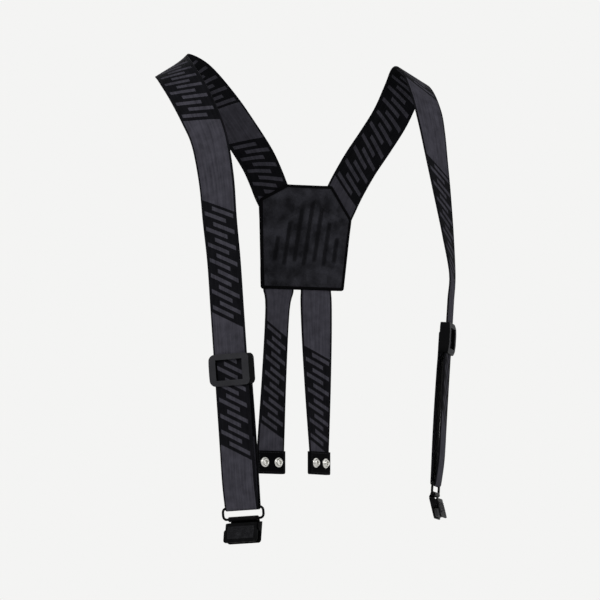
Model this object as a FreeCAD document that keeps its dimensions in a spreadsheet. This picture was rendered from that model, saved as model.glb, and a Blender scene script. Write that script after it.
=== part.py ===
"""Pair of webbing shoulder straps with a back patch, two sliding adjusters, two bail clips and
two rear snap tabs.  Millimetres, +Z up, front towards -Y.  The origin is midway between the
shoulder crests, where the straps lie on the shoulders."""

import FreeCAD, Part
import math
import os
import Sketcher

Vector = FreeCAD.Vector

# name: (value, note).  Every size below is read from these cells.
SIZES = {
    "harness_wide": (270.0, "between the two shoulder crests, webbing centre to centre"),
    "harness_deep": (169.0, "patch plane to the front runs"),
    "harness_tall": (453.0, "shoulder crests to the feet of the front runs"),
    "web_wide": (40.0, "shoulder webbing width"),
    "web_thick": (1.6, "webbing thickness"),
    "tab_wide": (34.0, "rear tab webbing width"),
    "patch_top_right": (22.0, "patch centre line to the right end of its top edge"),
    "patch_top_left": (29.0, "patch centre line to the left end of its top edge"),
    "patch_corner_right": (52.0, "patch centre line to its right side corner"),
    "patch_corner_left": (51.0, "patch centre line to its left side corner"),
    "patch_foot_right": (49.8, "patch centre line to the right end of its bottom edge"),
    "patch_foot_left": (42.2, "patch centre line to the left end of its bottom edge"),
    "patch_across": (30.0, "patch centre line, to the wearer's left"),
    "patch_depth": (62.0, "middle of the patch's webbing layer"),
    "patch_head": (-112.6, "height of the patch's top edge"),
    "patch_high": (-128.8, "height of the patch's right side corner"),
    "patch_low": (-147.4, "height of the patch's left side corner"),
    "patch_foot": (-223.2, "height of the patch's bottom edge"),
    "patch_round": (3.0, "patch corner radius"),
    "leather_thick": (1.4, "one patch layer"),
    "leather_gap": (0.5, "room between webbing and patch layer"),
    "frame_wide": (48.0, "adjuster width"),
    "frame_tall": (32.0, "adjuster height"),
    "frame_front": (4.6, "adjuster front face at its middle, from the strap's middle"),
    "frame_tip": (3.0, "adjuster front face at its top and bottom edges"),
    "frame_crown": (5.3, "half height of the adjuster's flat front"),
    "frame_brow": (11.2, "half height at which the adjuster's front falls away faster"),
    "cut_over": (1.0, "how far a cut runs past the face it opens"),
    "frame_back": (-6.0, "adjuster back face"),
    "frame_corner": (6.0, "adjuster corner radius"),
    "window_half": (20.5, "half width of the adjuster's channel"),
    "opening_half": (15.8, "half width of the opening in the adjuster's face"),
    "front_bar": (5.6, "height of each front bar"),
    "channel_front": (1.1, "back face of the front bars"),
    "middle_bar_half": (4.0, "half height of the middle bar"),
    "middle_bar_front": (-3.2, "front face of the middle bar"),
    "middle_bar_back": (-5.6, "back face of the middle bar"),
    "bar_ease": (0.2, "gap between turned webbing and the middle bar"),
    "wrap_end": (-12.0, "sewn end of the turned webbing, from the adjuster's middle"),
    "wire_radius": (1.25, "bail wire radius"),
    "wire_ease": (0.1, "gap between turned webbing and the bail"),
    "bail_half": (24.2, "half width of the bail, wire centre"),
    "bail_tall": (11.2, "height of the bail, wire centres"),
    "bail_corner": (4.0, "bail corner radius, wire centre"),
    "bail_behind": (-4.05, "bail plane, from the strap's middle"),
    "loop_leg": (40.0, "length of the turned webbing's front leg"),
    "loop_bulge": (-7.0, "middle of the returning layer at its fullest"),
    "clip_wide": (40.0, "clip back plate width"),
    "clip_head": (-3.0, "clip back plate's top edge, below the hinge"),
    "clip_foot": (-24.6, "clip bottom edge, below the hinge"),
    "clip_round": (3.0, "corner radius at the clip's bottom edge"),
    "plate_back": (-4.4, "clip back face"),
    "plate_thick": (1.4, "clip sheet thickness"),
    "barrel_half": (17.0, "half length of the hinge barrel"),
    "barrel_outer": (2.6, "hinge barrel outer radius"),
    "barrel_inner": (1.31, "hinge barrel inner radius"),
    "neck_foot": (-4.0, "foot of the neck that joins plate and barrel"),
    "cheek_front": (1.6, "front edge of the clip's cheeks"),
    "cheek_root": (-4.2, "back of the cheeks, inside the plate"),
    "cheek_top": (-3.6, "top of the cheeks at the plate"),
    "cheek_bottom": (-14.0, "bottom of the cheeks at the plate"),
    "cheek_slope": (2.0, "how far a cheek's corners are cut back"),
    "pin_ahead": (0.2, "pivot pin, ahead of the hinge"),
    "pin_below": (-8.0, "pivot pin, below the hinge"),
    "pin_radius": (1.0, "pivot pin radius"),
    "coil_outer": (1.95, "spring coil outer radius"),
    "coil_inner": (1.15, "spring coil inner radius"),
    "coil_wide": (10.0, "length of the spring coil"),
    "lever_neck": (36.4, "lever width between the cheeks"),
    "lever_wide": (40.4, "lever width at its foot"),
    "lever_shoulder": (-11.0, "where the lever widens, below the hinge"),
    "lever_slope": (2.0, "height over which the lever widens"),
    "lug_reach": (1.9, "lug material round the pivot pin"),
    "lever_back": (2.4, "lever plate's back face"),
    "lever_thick": (1.4, "lever plate thickness"),
    "lever_head": (-5.0, "lever top edge"),
    "pad_half": (15.0, "half width of the grip pads"),
    "pad_head": (-15.6, "top of the grip pads"),
    "pad_foot": (-23.0, "bottom of the grip pads"),
    "grip_gap": (0.6, "gap between the closed pads"),
    "grip_thick": (1.65, "back plate's front face to the pad's face"),
    "end_tall": (24.0, "height of a tab's end piece"),
    "end_skin": (1.2, "thickness of one end plate"),
    "end_round": (2.0, "corner radius at the end piece's bottom edge"),
    "end_ease": (0.1, "gap between an end plate and the tab"),
    "snap_apart": (17.2, "distance between a tab's two snaps"),
    "cap_radius": (5.4, "snap cap radius"),
    "socket_radius": (5.2, "snap socket radius"),
    "socket_bore": (2.0, "snap socket bore radius"),
    "post_radius": (1.4, "snap post radius"),
    "post_hole": (1.5, "hole round the snap post"),
    "hole_long": (8.0, "length of the tool that cuts the post holes"),
}

# The rows below are written for these spans and this patch, and stretch with the sizes above.
ROW_SPANS = {"harness_wide": 270.0, "harness_deep": 169.0, "harness_tall": 453.0}
ROW_PATCH = {"patch_across": 30.0, "patch_depth": 62.0, "patch_head": -112.6}

# Stations along each shoulder strap from the patch over the shoulder to the straight front run:
# across, depth, height, turn of the strap's face away from straight ahead, rise of its inner edge.
STATIONS = {
    "right": [
        (7.6, 62.0, -151.4, 0, 27.3),
        (-0.5, 62.0, -135.8, 0, 27.3),
        (-8.5, 62.0, -120.5, 0, 27.3),
        (-14.5, 61.6, -106.6, 0, 28.5),
        (-24.7, 59.4, -88.0, 0, 33),
        (-43.0, 54.2, -64.6, 0, 39),
        (-68.2, 45.0, -37.0, 0, 42),
        (-101.0, 29.0, -11.6, 0, 39),
        (-137.2, 2.0, -3.4, 2, 34),
        (-146.0, -31.0, -13.2, 14, 31),
        (-144.0, -60.0, -34.7, 28, 21),
        (-137.0, -77.5, -60.5, 38, 10),
        (-129.8, -89.0, -88.0, 44, 4),
        (-125.8, -99.6, -129.4, 48, 0),
        (-124.2, -105.6, -170.7, 51, 0),
        (-120.2, -107.0, -212.7, 53, 0),
    ],
    "left": [
        (58.0, 62.0, -150.7, 0, 25.5),
        (65.8, 62.0, -134.8, 0, 25.5),
        (73.5, 62.0, -119.0, 0, 25.5),
        (80.9, 61.6, -105.3, 0, 27),
        (91.8, 59.4, -86.3, 0, 31),
        (106.2, 54.2, -63.4, 0, 34),
        (119.0, 44.0, -38.8, 0, 33),
        (126.2, 27.0, -12.2, 0, 30),
        (123.8, 2.0, -0.4, 2, 28),
        (120.5, -30.0, -11.2, 7, 26),
        (118.2, -60.0, -38.4, 15, 18),
        (117.4, -76.0, -64.9, 25, 9),
        (117.4, -89.0, -98.4, 34, 3),
        (118.8, -99.8, -134.9, 42, 0),
        (122.6, -105.6, -176.1, 51, 0),
        (127.0, -107.0, -218.1, 60, 0),
    ],
}

# Per side: lower end of the straight run, adjuster height, bail height, clip tilt, run's end height.
RUNS = {
    "right": {"foot": (-101.0, -104.0, -461.0), "adjuster": -321.0, "bail": -459.0, "tilt": 14.0,
              "end": -448.0},
    "left": {"foot": (114.0, -102.0, -440.0), "adjuster": -284.0, "bail": -432.0, "tilt": 17.0,
             "end": -421.0},
}

# Per tab: across at the patch and at the foot, how far back the foot hangs, twist at four heights.
TABS = {
    "right": {"top": -0.5, "foot": -8.4, "foot_back": 2.0, "twist": (0, 22, 22, 14)},
    "left": {"top": 41.4, "foot": 45.6, "foot_back": 2.0, "twist": (0, -6, 14, 33)},
}
TAB_HEIGHTS = (-224.4, -243.0, -316.0, -390.0)
TAB_FOOT = -416.8
TAB_STUB_HEAD = -203.0

doc = FreeCAD.newDocument("shoulder_straps")
sheet = doc.addObject("Spreadsheet::Sheet", "params")
for row, (word, (value, note)) in enumerate(SIZES.items(), start=1):
    sheet.set(f"A{row}", word)
    sheet.set(f"B{row}", str(value))
    sheet.set(f"C{row}", note)
    sheet.setAlias(f"B{row}", word)
doc.recompute()

exported = []


def size(word):
    return SIZES[word][0]


def row_point(across, depth, height):
    """Place of a row's numbers at the present sizes."""
    steps = zip((across, depth, height), ROW_PATCH.items(), ROW_SPANS.items())
    return Vector(*[
        size(start) + (value - origin) * size(span) / written
        for value, (start, origin), (span, written) in steps])


def cell(text):
    """Turns size names inside an expression into references to the sheet."""
    for word in sorted(SIZES, key=len, reverse=True):
        text = text.replace(word, f"params.<{list(SIZES).index(word)}>")
    for index, word in enumerate(SIZES):
        text = text.replace(f"<{index}>", word)
    return text


def new_body(name, placement=FreeCAD.Placement()):
    body = doc.addObject("PartDesign::Body", name)
    body.Label = name
    body.Placement = placement
    exported.append(body)
    return body


def sketch_on(body, plane, offset="0"):
    """Sketch on one of the body's own planes, moved by `offset` along the body's axis."""
    sketch = body.newObject("Sketcher::SketchObject", body.Name + "_sketch")
    index = {"XY": 3, "XZ": 4, "YZ": 5}[plane]
    sketch.AttachmentSupport = [(body.Origin.OriginFeatures[index], "")]
    sketch.MapMode = "FlatFace"
    sign = "-1 * " if plane == "XZ" else ""
    sketch.setExpression("AttachmentOffset.Base.z", f"{sign}({cell(offset)})")
    return sketch


def polygon(sketch, corners):
    """Closed polygon; each corner is a pair of expressions measured from the sketch's origin."""
    first = sketch.GeometryCount
    count = len(corners)
    guess = [(evaluate(a), evaluate(b)) for a, b in corners]
    for i in range(count):
        a, b = guess[i], guess[(i + 1) % count]
        sketch.addGeometry(Part.LineSegment(Vector(a[0], a[1], 0), Vector(b[0], b[1], 0)), False)
    for i in range(count):
        sketch.addConstraint(
            Sketcher.Constraint("Coincident", first + i, 2, first + (i + 1) % count, 1))
    for i, (a, b) in enumerate(corners):
        for kind, text, value in (("DistanceX", a, guess[i][0]), ("DistanceY", b, guess[i][1])):
            place = sketch.addConstraint(Sketcher.Constraint(kind, -1, 1, first + i, 1, value))
            sketch.setExpression(f"Constraints[{place}]", cell(text))


def rectangle(sketch, low_a, high_a, low_b, high_b):
    polygon(sketch, [(low_a, low_b), (high_a, low_b), (high_a, high_b), (low_a, high_b)])


def rounded_ring(sketch, half, low, high, radius):
    """Closed line of four straights and four quarter arcs, centred across."""
    a, bottom, top, r = evaluate(half), evaluate(low), evaluate(high), evaluate(radius)
    straights = [
        ((f"-{half} + {radius}", low), (f"{half} - {radius}", low)),
        ((half, f"{low} + {radius}"), (half, f"{high} - {radius}")),
        ((f"{half} - {radius}", high), (f"-{half} + {radius}", high)),
        ((f"-{half}", f"{high} - {radius}"), (f"-{half}", f"{low} + {radius}"))]
    for ends in straights:
        points = [Vector(evaluate(x), evaluate(y), 0) for x, y in ends]
        line = sketch.addGeometry(Part.LineSegment(*points), False)
        for end, (x, y) in enumerate(ends, start=1):
            for kind, text in (("DistanceX", x), ("DistanceY", y)):
                place = sketch.addConstraint(
                    Sketcher.Constraint(kind, -1, 1, line, end, evaluate(text)))
                sketch.setExpression(f"Constraints[{place}]", cell(text))
    centres = [(a - r, bottom + r), (a - r, top - r), (-a + r, top - r), (-a + r, bottom + r)]
    for corner, (x, y) in enumerate(centres):
        start = math.radians(90 * corner - 90)
        around = Part.Circle(Vector(x, y, 0), Vector(0, 0, 1), r)
        arc = sketch.addGeometry(Part.ArcOfCircle(around, start, start + math.pi / 2), False)
        sketch.addConstraint(Sketcher.Constraint("Coincident", arc, 1, corner, 2))
        sketch.addConstraint(Sketcher.Constraint("Coincident", arc, 2, (corner + 1) % 4, 1))
        place = sketch.addConstraint(Sketcher.Constraint("Radius", arc, r))
        sketch.setExpression(f"Constraints[{place}]", cell(radius))


def circle(sketch, at_a, at_b, radius):
    first = sketch.GeometryCount
    a, b, r = evaluate(at_a), evaluate(at_b), evaluate(radius)
    sketch.addGeometry(Part.Circle(Vector(a, b, 0), Vector(0, 0, 1), r), False)
    sketch.setExpression(
        f"Constraints[{sketch.addConstraint(Sketcher.Constraint('Radius', first, r))}]",
        cell(radius))
    for kind, text, value in (("DistanceX", at_a, a), ("DistanceY", at_b, b)):
        place = sketch.addConstraint(Sketcher.Constraint(kind, -1, 1, first, 3, value))
        sketch.setExpression(f"Constraints[{place}]", cell(text))


def evaluate(text):
    """Value of an expression made of size names, numbers, + - * / and brackets."""
    return float(sheet.evalExpression(cell(text)))


def pad(body, sketch, length, symmetric=False, reverse=False):
    feature = body.newObject("PartDesign::Pad", body.Name + "_pad")
    feature.Profile = sketch
    feature.setExpression("Length", cell(length))
    feature.SideType = "Symmetric" if symmetric else "One side"
    feature.Reversed = reverse
    body.Tip = feature
    return feature


def pocket(body, sketch, length, symmetric=False, reverse=False):
    feature = body.newObject("PartDesign::Pocket", body.Name + "_pocket")
    feature.Profile = sketch
    feature.Type = "Length"
    feature.setExpression("Length", cell(length))
    feature.SideType = "Symmetric" if symmetric else "One side"
    feature.Reversed = reverse
    body.Tip = feature
    doc.recompute()
    assert feature.Shape.Volume < feature.BaseFeature.Shape.Volume - 0.5, feature.Name
    return feature


def face_block(body, low_a, high_a, low_b, high_b, back, front):
    """Block seen from the front: across and height limits, from `back` to `front` in depth."""
    sketch = sketch_on(body, "XZ", back)
    rectangle(sketch, low_a, high_a, low_b, high_b)
    return pad(body, sketch, f"({front}) - ({back})", reverse=True)


def face_cut(body, low_a, high_a, low_b, high_b, back, front):
    sketch = sketch_on(body, "XZ", back)
    rectangle(sketch, low_a, high_a, low_b, high_b)
    return pocket(body, sketch, f"({front}) - ({back})", reverse=False)


def round_hole(body, at_a, at_b, radius, back, front):
    sketch = sketch_on(body, "XZ", back)
    circle(sketch, at_a, at_b, radius)
    return pocket(body, sketch, f"({front}) - ({back})", reverse=False)


def round_edges(body, radius, direction, keep):
    """Rounds the straight edges that run along `direction` and whose middle passes `keep`."""
    doc.recompute()
    names = []
    for index, edge in enumerate(body.Tip.Shape.Edges, start=1):
        if edge.Curve.TypeId != "Part::GeomLine":
            continue
        run = (edge.Vertexes[1].Point - edge.Vertexes[0].Point).normalize()
        if abs(abs(run.dot(direction)) - 1) < 1e-6 and keep(edge.CenterOfMass):
            names.append(f"Edge{index}")
    base = body.Tip
    fillet = body.newObject("PartDesign::Fillet", body.Name + "_fillet")
    fillet.Base = (base, names)
    fillet.setExpression("Radius", cell(radius))
    body.Tip = fillet
    return fillet


def placement_from(point, along_x, along_z):
    """Placement whose Z axis is `along_z` and whose X axis is nearest `along_x`."""
    z_axis = Vector(along_z).normalize()
    x_axis = (along_x - z_axis * along_x.dot(z_axis)).normalize()
    y_axis = z_axis.cross(x_axis)
    matrix = FreeCAD.Matrix(
        x_axis.x, y_axis.x, z_axis.x, point.x,
        x_axis.y, y_axis.y, z_axis.y, point.y,
        x_axis.z, y_axis.z, z_axis.z, point.z,
        0, 0, 0, 1)
    return FreeCAD.Placement(matrix)


def width_direction(side, turn, rise):
    """Unit vector across the strap, towards the wearer's left."""
    turn, rise = math.radians(turn), math.radians(rise)
    inward = 1 if side == "right" else -1
    return Vector(
        math.cos(rise) * math.cos(turn),
        -inward * math.cos(rise) * math.sin(turn),
        inward * math.sin(rise))


def cross_line(name, placement, wide, level_text):
    """Sketch holding one line across the webbing, on one of its faces."""
    sketch = doc.addObject("Sketcher::SketchObject", name)
    sketch.Placement = placement
    half, level = evaluate(f"{wide} / 2"), evaluate(level_text)
    sketch.addGeometry(Part.LineSegment(Vector(-half, level, 0), Vector(half, level, 0)), False)
    for end, across in ((1, f"-{wide} / 2"), (2, f"{wide} / 2")):
        for kind, text in (("DistanceX", across), ("DistanceY", level_text)):
            place = sketch.addConstraint(
                Sketcher.Constraint(kind, -1, 1, 0, end, evaluate(text)))
            sketch.setExpression(f"Constraints[{place}]", cell(text))
    return sketch


def ribbon(name, placements, wide, thick, start):
    """Webbing through the given cross-section frames: a lofted face, thickened from `start`."""
    face = doc.addObject("Part::Loft", name + "_face")
    face.Sections = [
        cross_line(f"{name}_line", placement, wide, start) for placement in placements]
    face.Solid = False
    face.Ruled = False
    doc.recompute()
    solid = doc.addObject("Part::Offset", name + "_sheet")
    solid.Source = face
    solid.setExpression("Value", cell(thick))
    solid.Mode = "Skin"
    solid.Fill = True
    doc.recompute()
    return solid


def run_ends(side):
    return row_point(*STATIONS[side][-1][:3]), row_point(*RUNS[side]["foot"])


def run_point(side, height):
    """Point of the straight front run at a row's height."""
    start, foot = run_ends(side)
    share = (row_point(0, 0, height).z - start.z) / (foot.z - start.z)
    return start + (foot - start) * share


def run_up(side):
    start, foot = run_ends(side)
    return (start - foot).normalize()


def run_placement(side, height):
    """Frame on the straight run: X across the strap, Y out of its face, Z up along it."""
    across = width_direction(side, STATIONS[side][-1][3], 0)
    return placement_from(run_point(side, height), across * -1, run_up(side))


def shoulder_strap(side):
    rows = STATIONS[side]
    points = [row_point(*row[:3]) for row in rows]
    placements = []
    for index, row in enumerate(rows):
        if index == len(rows) - 1:
            along = run_up(side) * -1
        else:
            along = points[index + 1] - points[max(index - 1, 0)]
        placements.append(placement_from(
            points[index], width_direction(side, row[3], row[4]), along))
    length = (run_point(side, RUNS[side]["end"]) - points[-1]).Length
    steps = 6
    for share in [step / steps for step in range(1, steps + 1)]:
        placements.append(placements[len(rows) - 1].multiply(
            FreeCAD.Placement(Vector(0, 0, length * share), FreeCAD.Rotation())))
    strap = ribbon(f"shoulder_{side}", placements, "web_wide", "web_thick", "web_thick / 2")
    strap.Label = f"shoulder_strap_{side}"
    exported.append(strap)


def patch_layer(name, back, front):
    body = new_body(name, FreeCAD.Placement(
        Vector(size("patch_across"), size("patch_depth"), 0), FreeCAD.Rotation()))
    sketch = sketch_on(body, "XZ", back)
    polygon(sketch, [
        ("-patch_foot_right", "patch_foot"), ("patch_foot_left", "patch_foot"),
        ("patch_corner_left", "patch_low"), ("patch_top_left", "patch_head"),
        ("-patch_top_right", "patch_head"), ("-patch_corner_right", "patch_high")])
    pad(body, sketch, f"({front}) - ({back})", reverse=True)
    round_edges(body, "patch_round", Vector(0, 1, 0), lambda middle: True)


def adjuster(side):
    body = new_body(f"adjuster_frame_{side}", run_placement(side, RUNS[side]["adjuster"]))
    face_block(body, "-frame_wide / 2", "frame_wide / 2", "-frame_tall / 2", "frame_tall / 2",
               "frame_back", "frame_front")
    round_edges(body, "frame_corner", Vector(0, 1, 0), lambda middle: True)
    tall = "frame_tall / 2 + cut_over"
    for sign in ("", "-"):
        arch = sketch_on(body, "YZ")
        polygon(arch, [
            ("frame_front", f"{sign}frame_crown"), ("frame_front * 0.9", f"{sign}frame_brow"),
            ("frame_tip", f"{sign}(frame_tall / 2)"), ("frame_tip", f"{sign}({tall})"),
            ("frame_front + cut_over", f"{sign}({tall})"),
            ("frame_front + cut_over", f"{sign}frame_crown")])
        pocket(body, arch, "frame_wide + cut_over * 2", symmetric=True)
    face_cut(body, "-window_half", "window_half", f"-({tall})", tall,
             "middle_bar_front", "channel_front")
    inner = "frame_tall / 2 - front_bar"
    face_cut(body, "-opening_half", "opening_half", f"-({inner})", inner,
             "channel_front - cut_over / 2", "frame_front + cut_over")
    for low, high in ((f"-({tall})", "-middle_bar_half"), ("middle_bar_half", tall)):
        face_cut(body, "-window_half", "window_half", low, high,
                 "frame_back - cut_over", "middle_bar_front + cut_over / 2")
    face_cut(body, "-window_half", "window_half", "-middle_bar_half - cut_over / 2",
             "middle_bar_half + cut_over / 2", "frame_back - cut_over", "middle_bar_back")


def strap_loop(side):
    """Webbing turned round the bail and sewn back round the adjuster's middle bar."""
    at = RUNS[side]["adjuster"]
    drop = (run_point(side, RUNS[side]["bail"]) - run_point(side, at)).Length
    body = new_body(f"strap_loop_{side}", run_placement(side, at))
    turn_outer = "(wire_radius + wire_ease + web_thick)"
    turn_inner = "(wire_radius + wire_ease)"
    outer, inner = [], []
    for step in range(7):
        angle = math.radians(30 * step)
        c, s = round(math.cos(angle), 6), round(math.sin(angle), 6)
        for radius, corners in ((turn_outer, outer), (turn_inner, inner)):
            corners.append((f"bail_behind + {radius} * {c}", f"-{drop:.3f} - {radius} * {s}"))
    half = "web_thick / 2"
    leg, tall, behind = size("loop_leg"), size("frame_tall"), size("bail_behind")
    bulge = size("loop_bulge") - behind
    spine = [(f"bail_behind + {bulge * share:.3f}", height) for share, height in (
        (0.304, -drop + leg * 0.15), (0.557, -drop + leg * 0.55), (1, -drop * 0.62),
        (1, -drop * 0.40), (0.405, -leg * 0.65), (0.076, -tall * 0.47))]
    back_face = [(f"{a} - {half}", f"{b:.3f}") for a, b in spine[:-1]]
    front_face = [(f"{a} + {half}", f"{b:.3f}") for a, b in spine]
    wrap_back = "middle_bar_back - bar_ease - web_thick"
    wrap_front = "middle_bar_front + bar_ease + web_thick"
    top = "middle_bar_half + bar_ease"
    corners = [(f"bail_behind + {turn_outer}", f"loop_leg - {drop:.3f}")]
    corners += outer + back_face
    corners += [(wrap_back, f"{-tall * 0.3:.3f}"), (wrap_back, top),
                (f"{wrap_back} + {half}", f"{top} + web_thick"),
                (f"{wrap_front} - {half}", f"{top} + web_thick"), (wrap_front, top),
                (wrap_front, "wrap_end")]
    corners += front_face[::-1] + inner[::-1]
    corners += [(f"bail_behind + {turn_inner}", f"loop_leg - {drop:.3f}")]
    sketch = sketch_on(body, "YZ")
    polygon(sketch, corners)
    rectangle(sketch, "middle_bar_back - bar_ease", "middle_bar_front + bar_ease",
              f"-({top})", top)
    pad(body, sketch, "web_wide", symmetric=True)


def bail(side):
    place = run_placement(side, RUNS[side]["bail"])
    body = new_body(f"clip_bail_{side}", place)
    spine = sketch_on(body, "XZ", "bail_behind")
    rounded_ring(spine, "bail_half", "-bail_tall", "0", "bail_corner")
    profile = sketch_on(body, "YZ")
    circle(profile, "bail_behind", "0", "wire_radius")
    pipe = body.newObject("PartDesign::AdditivePipe", body.Name + "_pipe")
    pipe.Profile = profile
    pipe.Spine = spine
    body.Tip = pipe
    return pipe


def clip_placement(side):
    """Frame on the bail's lower bar, tilted so that the clip's foot stands forward."""
    place = run_placement(side, RUNS[side]["bail"])
    hinge = FreeCAD.Placement(
        Vector(0, size("bail_behind"), -size("bail_tall")),
        FreeCAD.Rotation(Vector(1, 0, 0), RUNS[side]["tilt"]))
    return place.multiply(hinge)


def clip(side):
    place = clip_placement(side)
    plate_front = "(plate_back + plate_thick)"

    def at_foot(middle):
        return middle.z < size("pad_head")

    back = new_body(f"clip_back_plate_{side}", place)
    face_block(back, "-clip_wide / 2", "clip_wide / 2", "clip_foot", "clip_head",
               "plate_back", plate_front)
    round_edges(back, "clip_round", Vector(0, 1, 0), at_foot)
    barrel = sketch_on(back, "YZ")
    circle(barrel, "0", "0", "barrel_outer")
    pad(back, barrel, "barrel_half * 2", symmetric=True)
    neck = sketch_on(back, "YZ")
    polygon(neck, [
        ("plate_back", "neck_foot"), (plate_front, "neck_foot"),
        (plate_front, "neck_foot * 0.15"), ("-barrel_outer + 0.1", "neck_foot * -0.1"),
        ("plate_back", "neck_foot * 0.35")])
    pad(back, neck, "barrel_half * 2", symmetric=True)
    bore = sketch_on(back, "YZ")
    circle(bore, "0", "0", "barrel_inner")
    pocket(back, bore, "(barrel_half + cut_over) * 2", symmetric=True)
    for sign in ("-", ""):
        cheek = sketch_on(back, "YZ", f"{sign}(clip_wide / 2 - plate_thick / 2)")
        polygon(cheek, [
            ("cheek_root", "cheek_bottom"), ("cheek_front - cheek_slope", "cheek_bottom + 1"),
            ("cheek_front", "cheek_bottom + 1 + cheek_slope"),
            ("cheek_front", "cheek_top - cheek_slope"),
            ("cheek_front - cheek_slope", "cheek_top - 0.2"), ("cheek_root", "cheek_top")])
        pad(back, cheek, "plate_thick", symmetric=True)
    holes = sketch_on(back, "YZ")
    circle(holes, "pin_ahead", "pin_below", "pin_radius + 0.01")
    pocket(back, holes, "clip_wide + cut_over * 2", symmetric=True)

    pin = new_body(f"clip_pin_{side}", place)
    shaft = sketch_on(pin, "YZ")
    circle(shaft, "pin_ahead", "pin_below", "pin_radius")
    pad(pin, shaft, "clip_wide - 0.2", symmetric=True)

    spring = new_body(f"clip_spring_{side}", place)
    coil = sketch_on(spring, "YZ")
    circle(coil, "pin_ahead", "pin_below", "coil_outer")
    circle(coil, "pin_ahead", "pin_below", "coil_inner")
    pad(spring, coil, "coil_wide", symmetric=True)

    lever = new_body(f"clip_lever_{side}", place)
    plate = sketch_on(lever, "XZ", "lever_back")
    polygon(plate, [
        ("-lever_wide / 2", "clip_foot"), ("lever_wide / 2", "clip_foot"),
        ("lever_wide / 2", "lever_shoulder - lever_slope"), ("lever_neck / 2", "lever_shoulder"),
        ("lever_neck / 2", "lever_head"), ("-lever_neck / 2", "lever_head"),
        ("-lever_neck / 2", "lever_shoulder"), ("-lever_wide / 2", "lever_shoulder - lever_slope")])
    pad(lever, plate, "lever_thick", reverse=True)
    round_edges(lever, "clip_round", Vector(0, 1, 0), at_foot)
    for sign in ("-", ""):
        lug = sketch_on(lever, "YZ", f"{sign}(lever_neck / 2 - plate_thick / 2)")
        polygon(lug, [
            ("pin_ahead - lug_reach", "pin_below - lug_reach * 0.6"),
            ("pin_ahead - lug_reach", "pin_below + lug_reach * 0.6"),
            ("pin_ahead - lug_reach * 0.4", "pin_below + lug_reach * 1.1"),
            ("lever_back + 0.3", "pin_below + lug_reach * 1.35"),
            ("lever_back + 0.3", "pin_below - lug_reach * 1.6"),
            ("pin_ahead - lug_reach * 0.4", "pin_below - lug_reach * 1.1")])
        pad(lever, lug, "plate_thick", symmetric=True)
    eye = sketch_on(lever, "YZ")
    circle(eye, "pin_ahead", "pin_below", "pin_radius + 0.05")
    pocket(lever, eye, "lever_neck + cut_over * 2", symmetric=True)

    jaw = "(plate_back + plate_thick + grip_thick)"
    for name, low, high in (("back", f"{plate_front} + 0.02", jaw),
                            ("front", f"{jaw} + grip_gap", "lever_back - 0.02")):
        grip = new_body(f"clip_pad_{name}_{side}", place)
        face_block(grip, "-pad_half", "pad_half", "pad_foot", "pad_head", low, high)


def tab_stations(side):
    tab = TABS[side]
    rows = []
    for height, twist in zip(TAB_HEIGHTS, tab["twist"]):
        share = (TAB_HEIGHTS[0] - height) / (TAB_HEIGHTS[0] - TAB_HEIGHTS[-1])
        rows.append((tab_point(side, share, height), twist))
    return rows


def tab_point(side, share, height):
    """Middle of a tab at a height, `share` of the way from the patch to the foot."""
    tab = TABS[side]
    place = row_point(tab["top"] + (tab["foot"] - tab["top"]) * share, ROW_PATCH["patch_depth"], 0)
    return Vector(place.x, place.y + tab["foot_back"] * share, height)


def tab_end_placement(side):
    return FreeCAD.Placement(
        tab_point(side, 1, TAB_FOOT + size("end_tall") / 2),
        FreeCAD.Rotation(Vector(0, 0, 1), TABS[side]["twist"][-1]))


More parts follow.
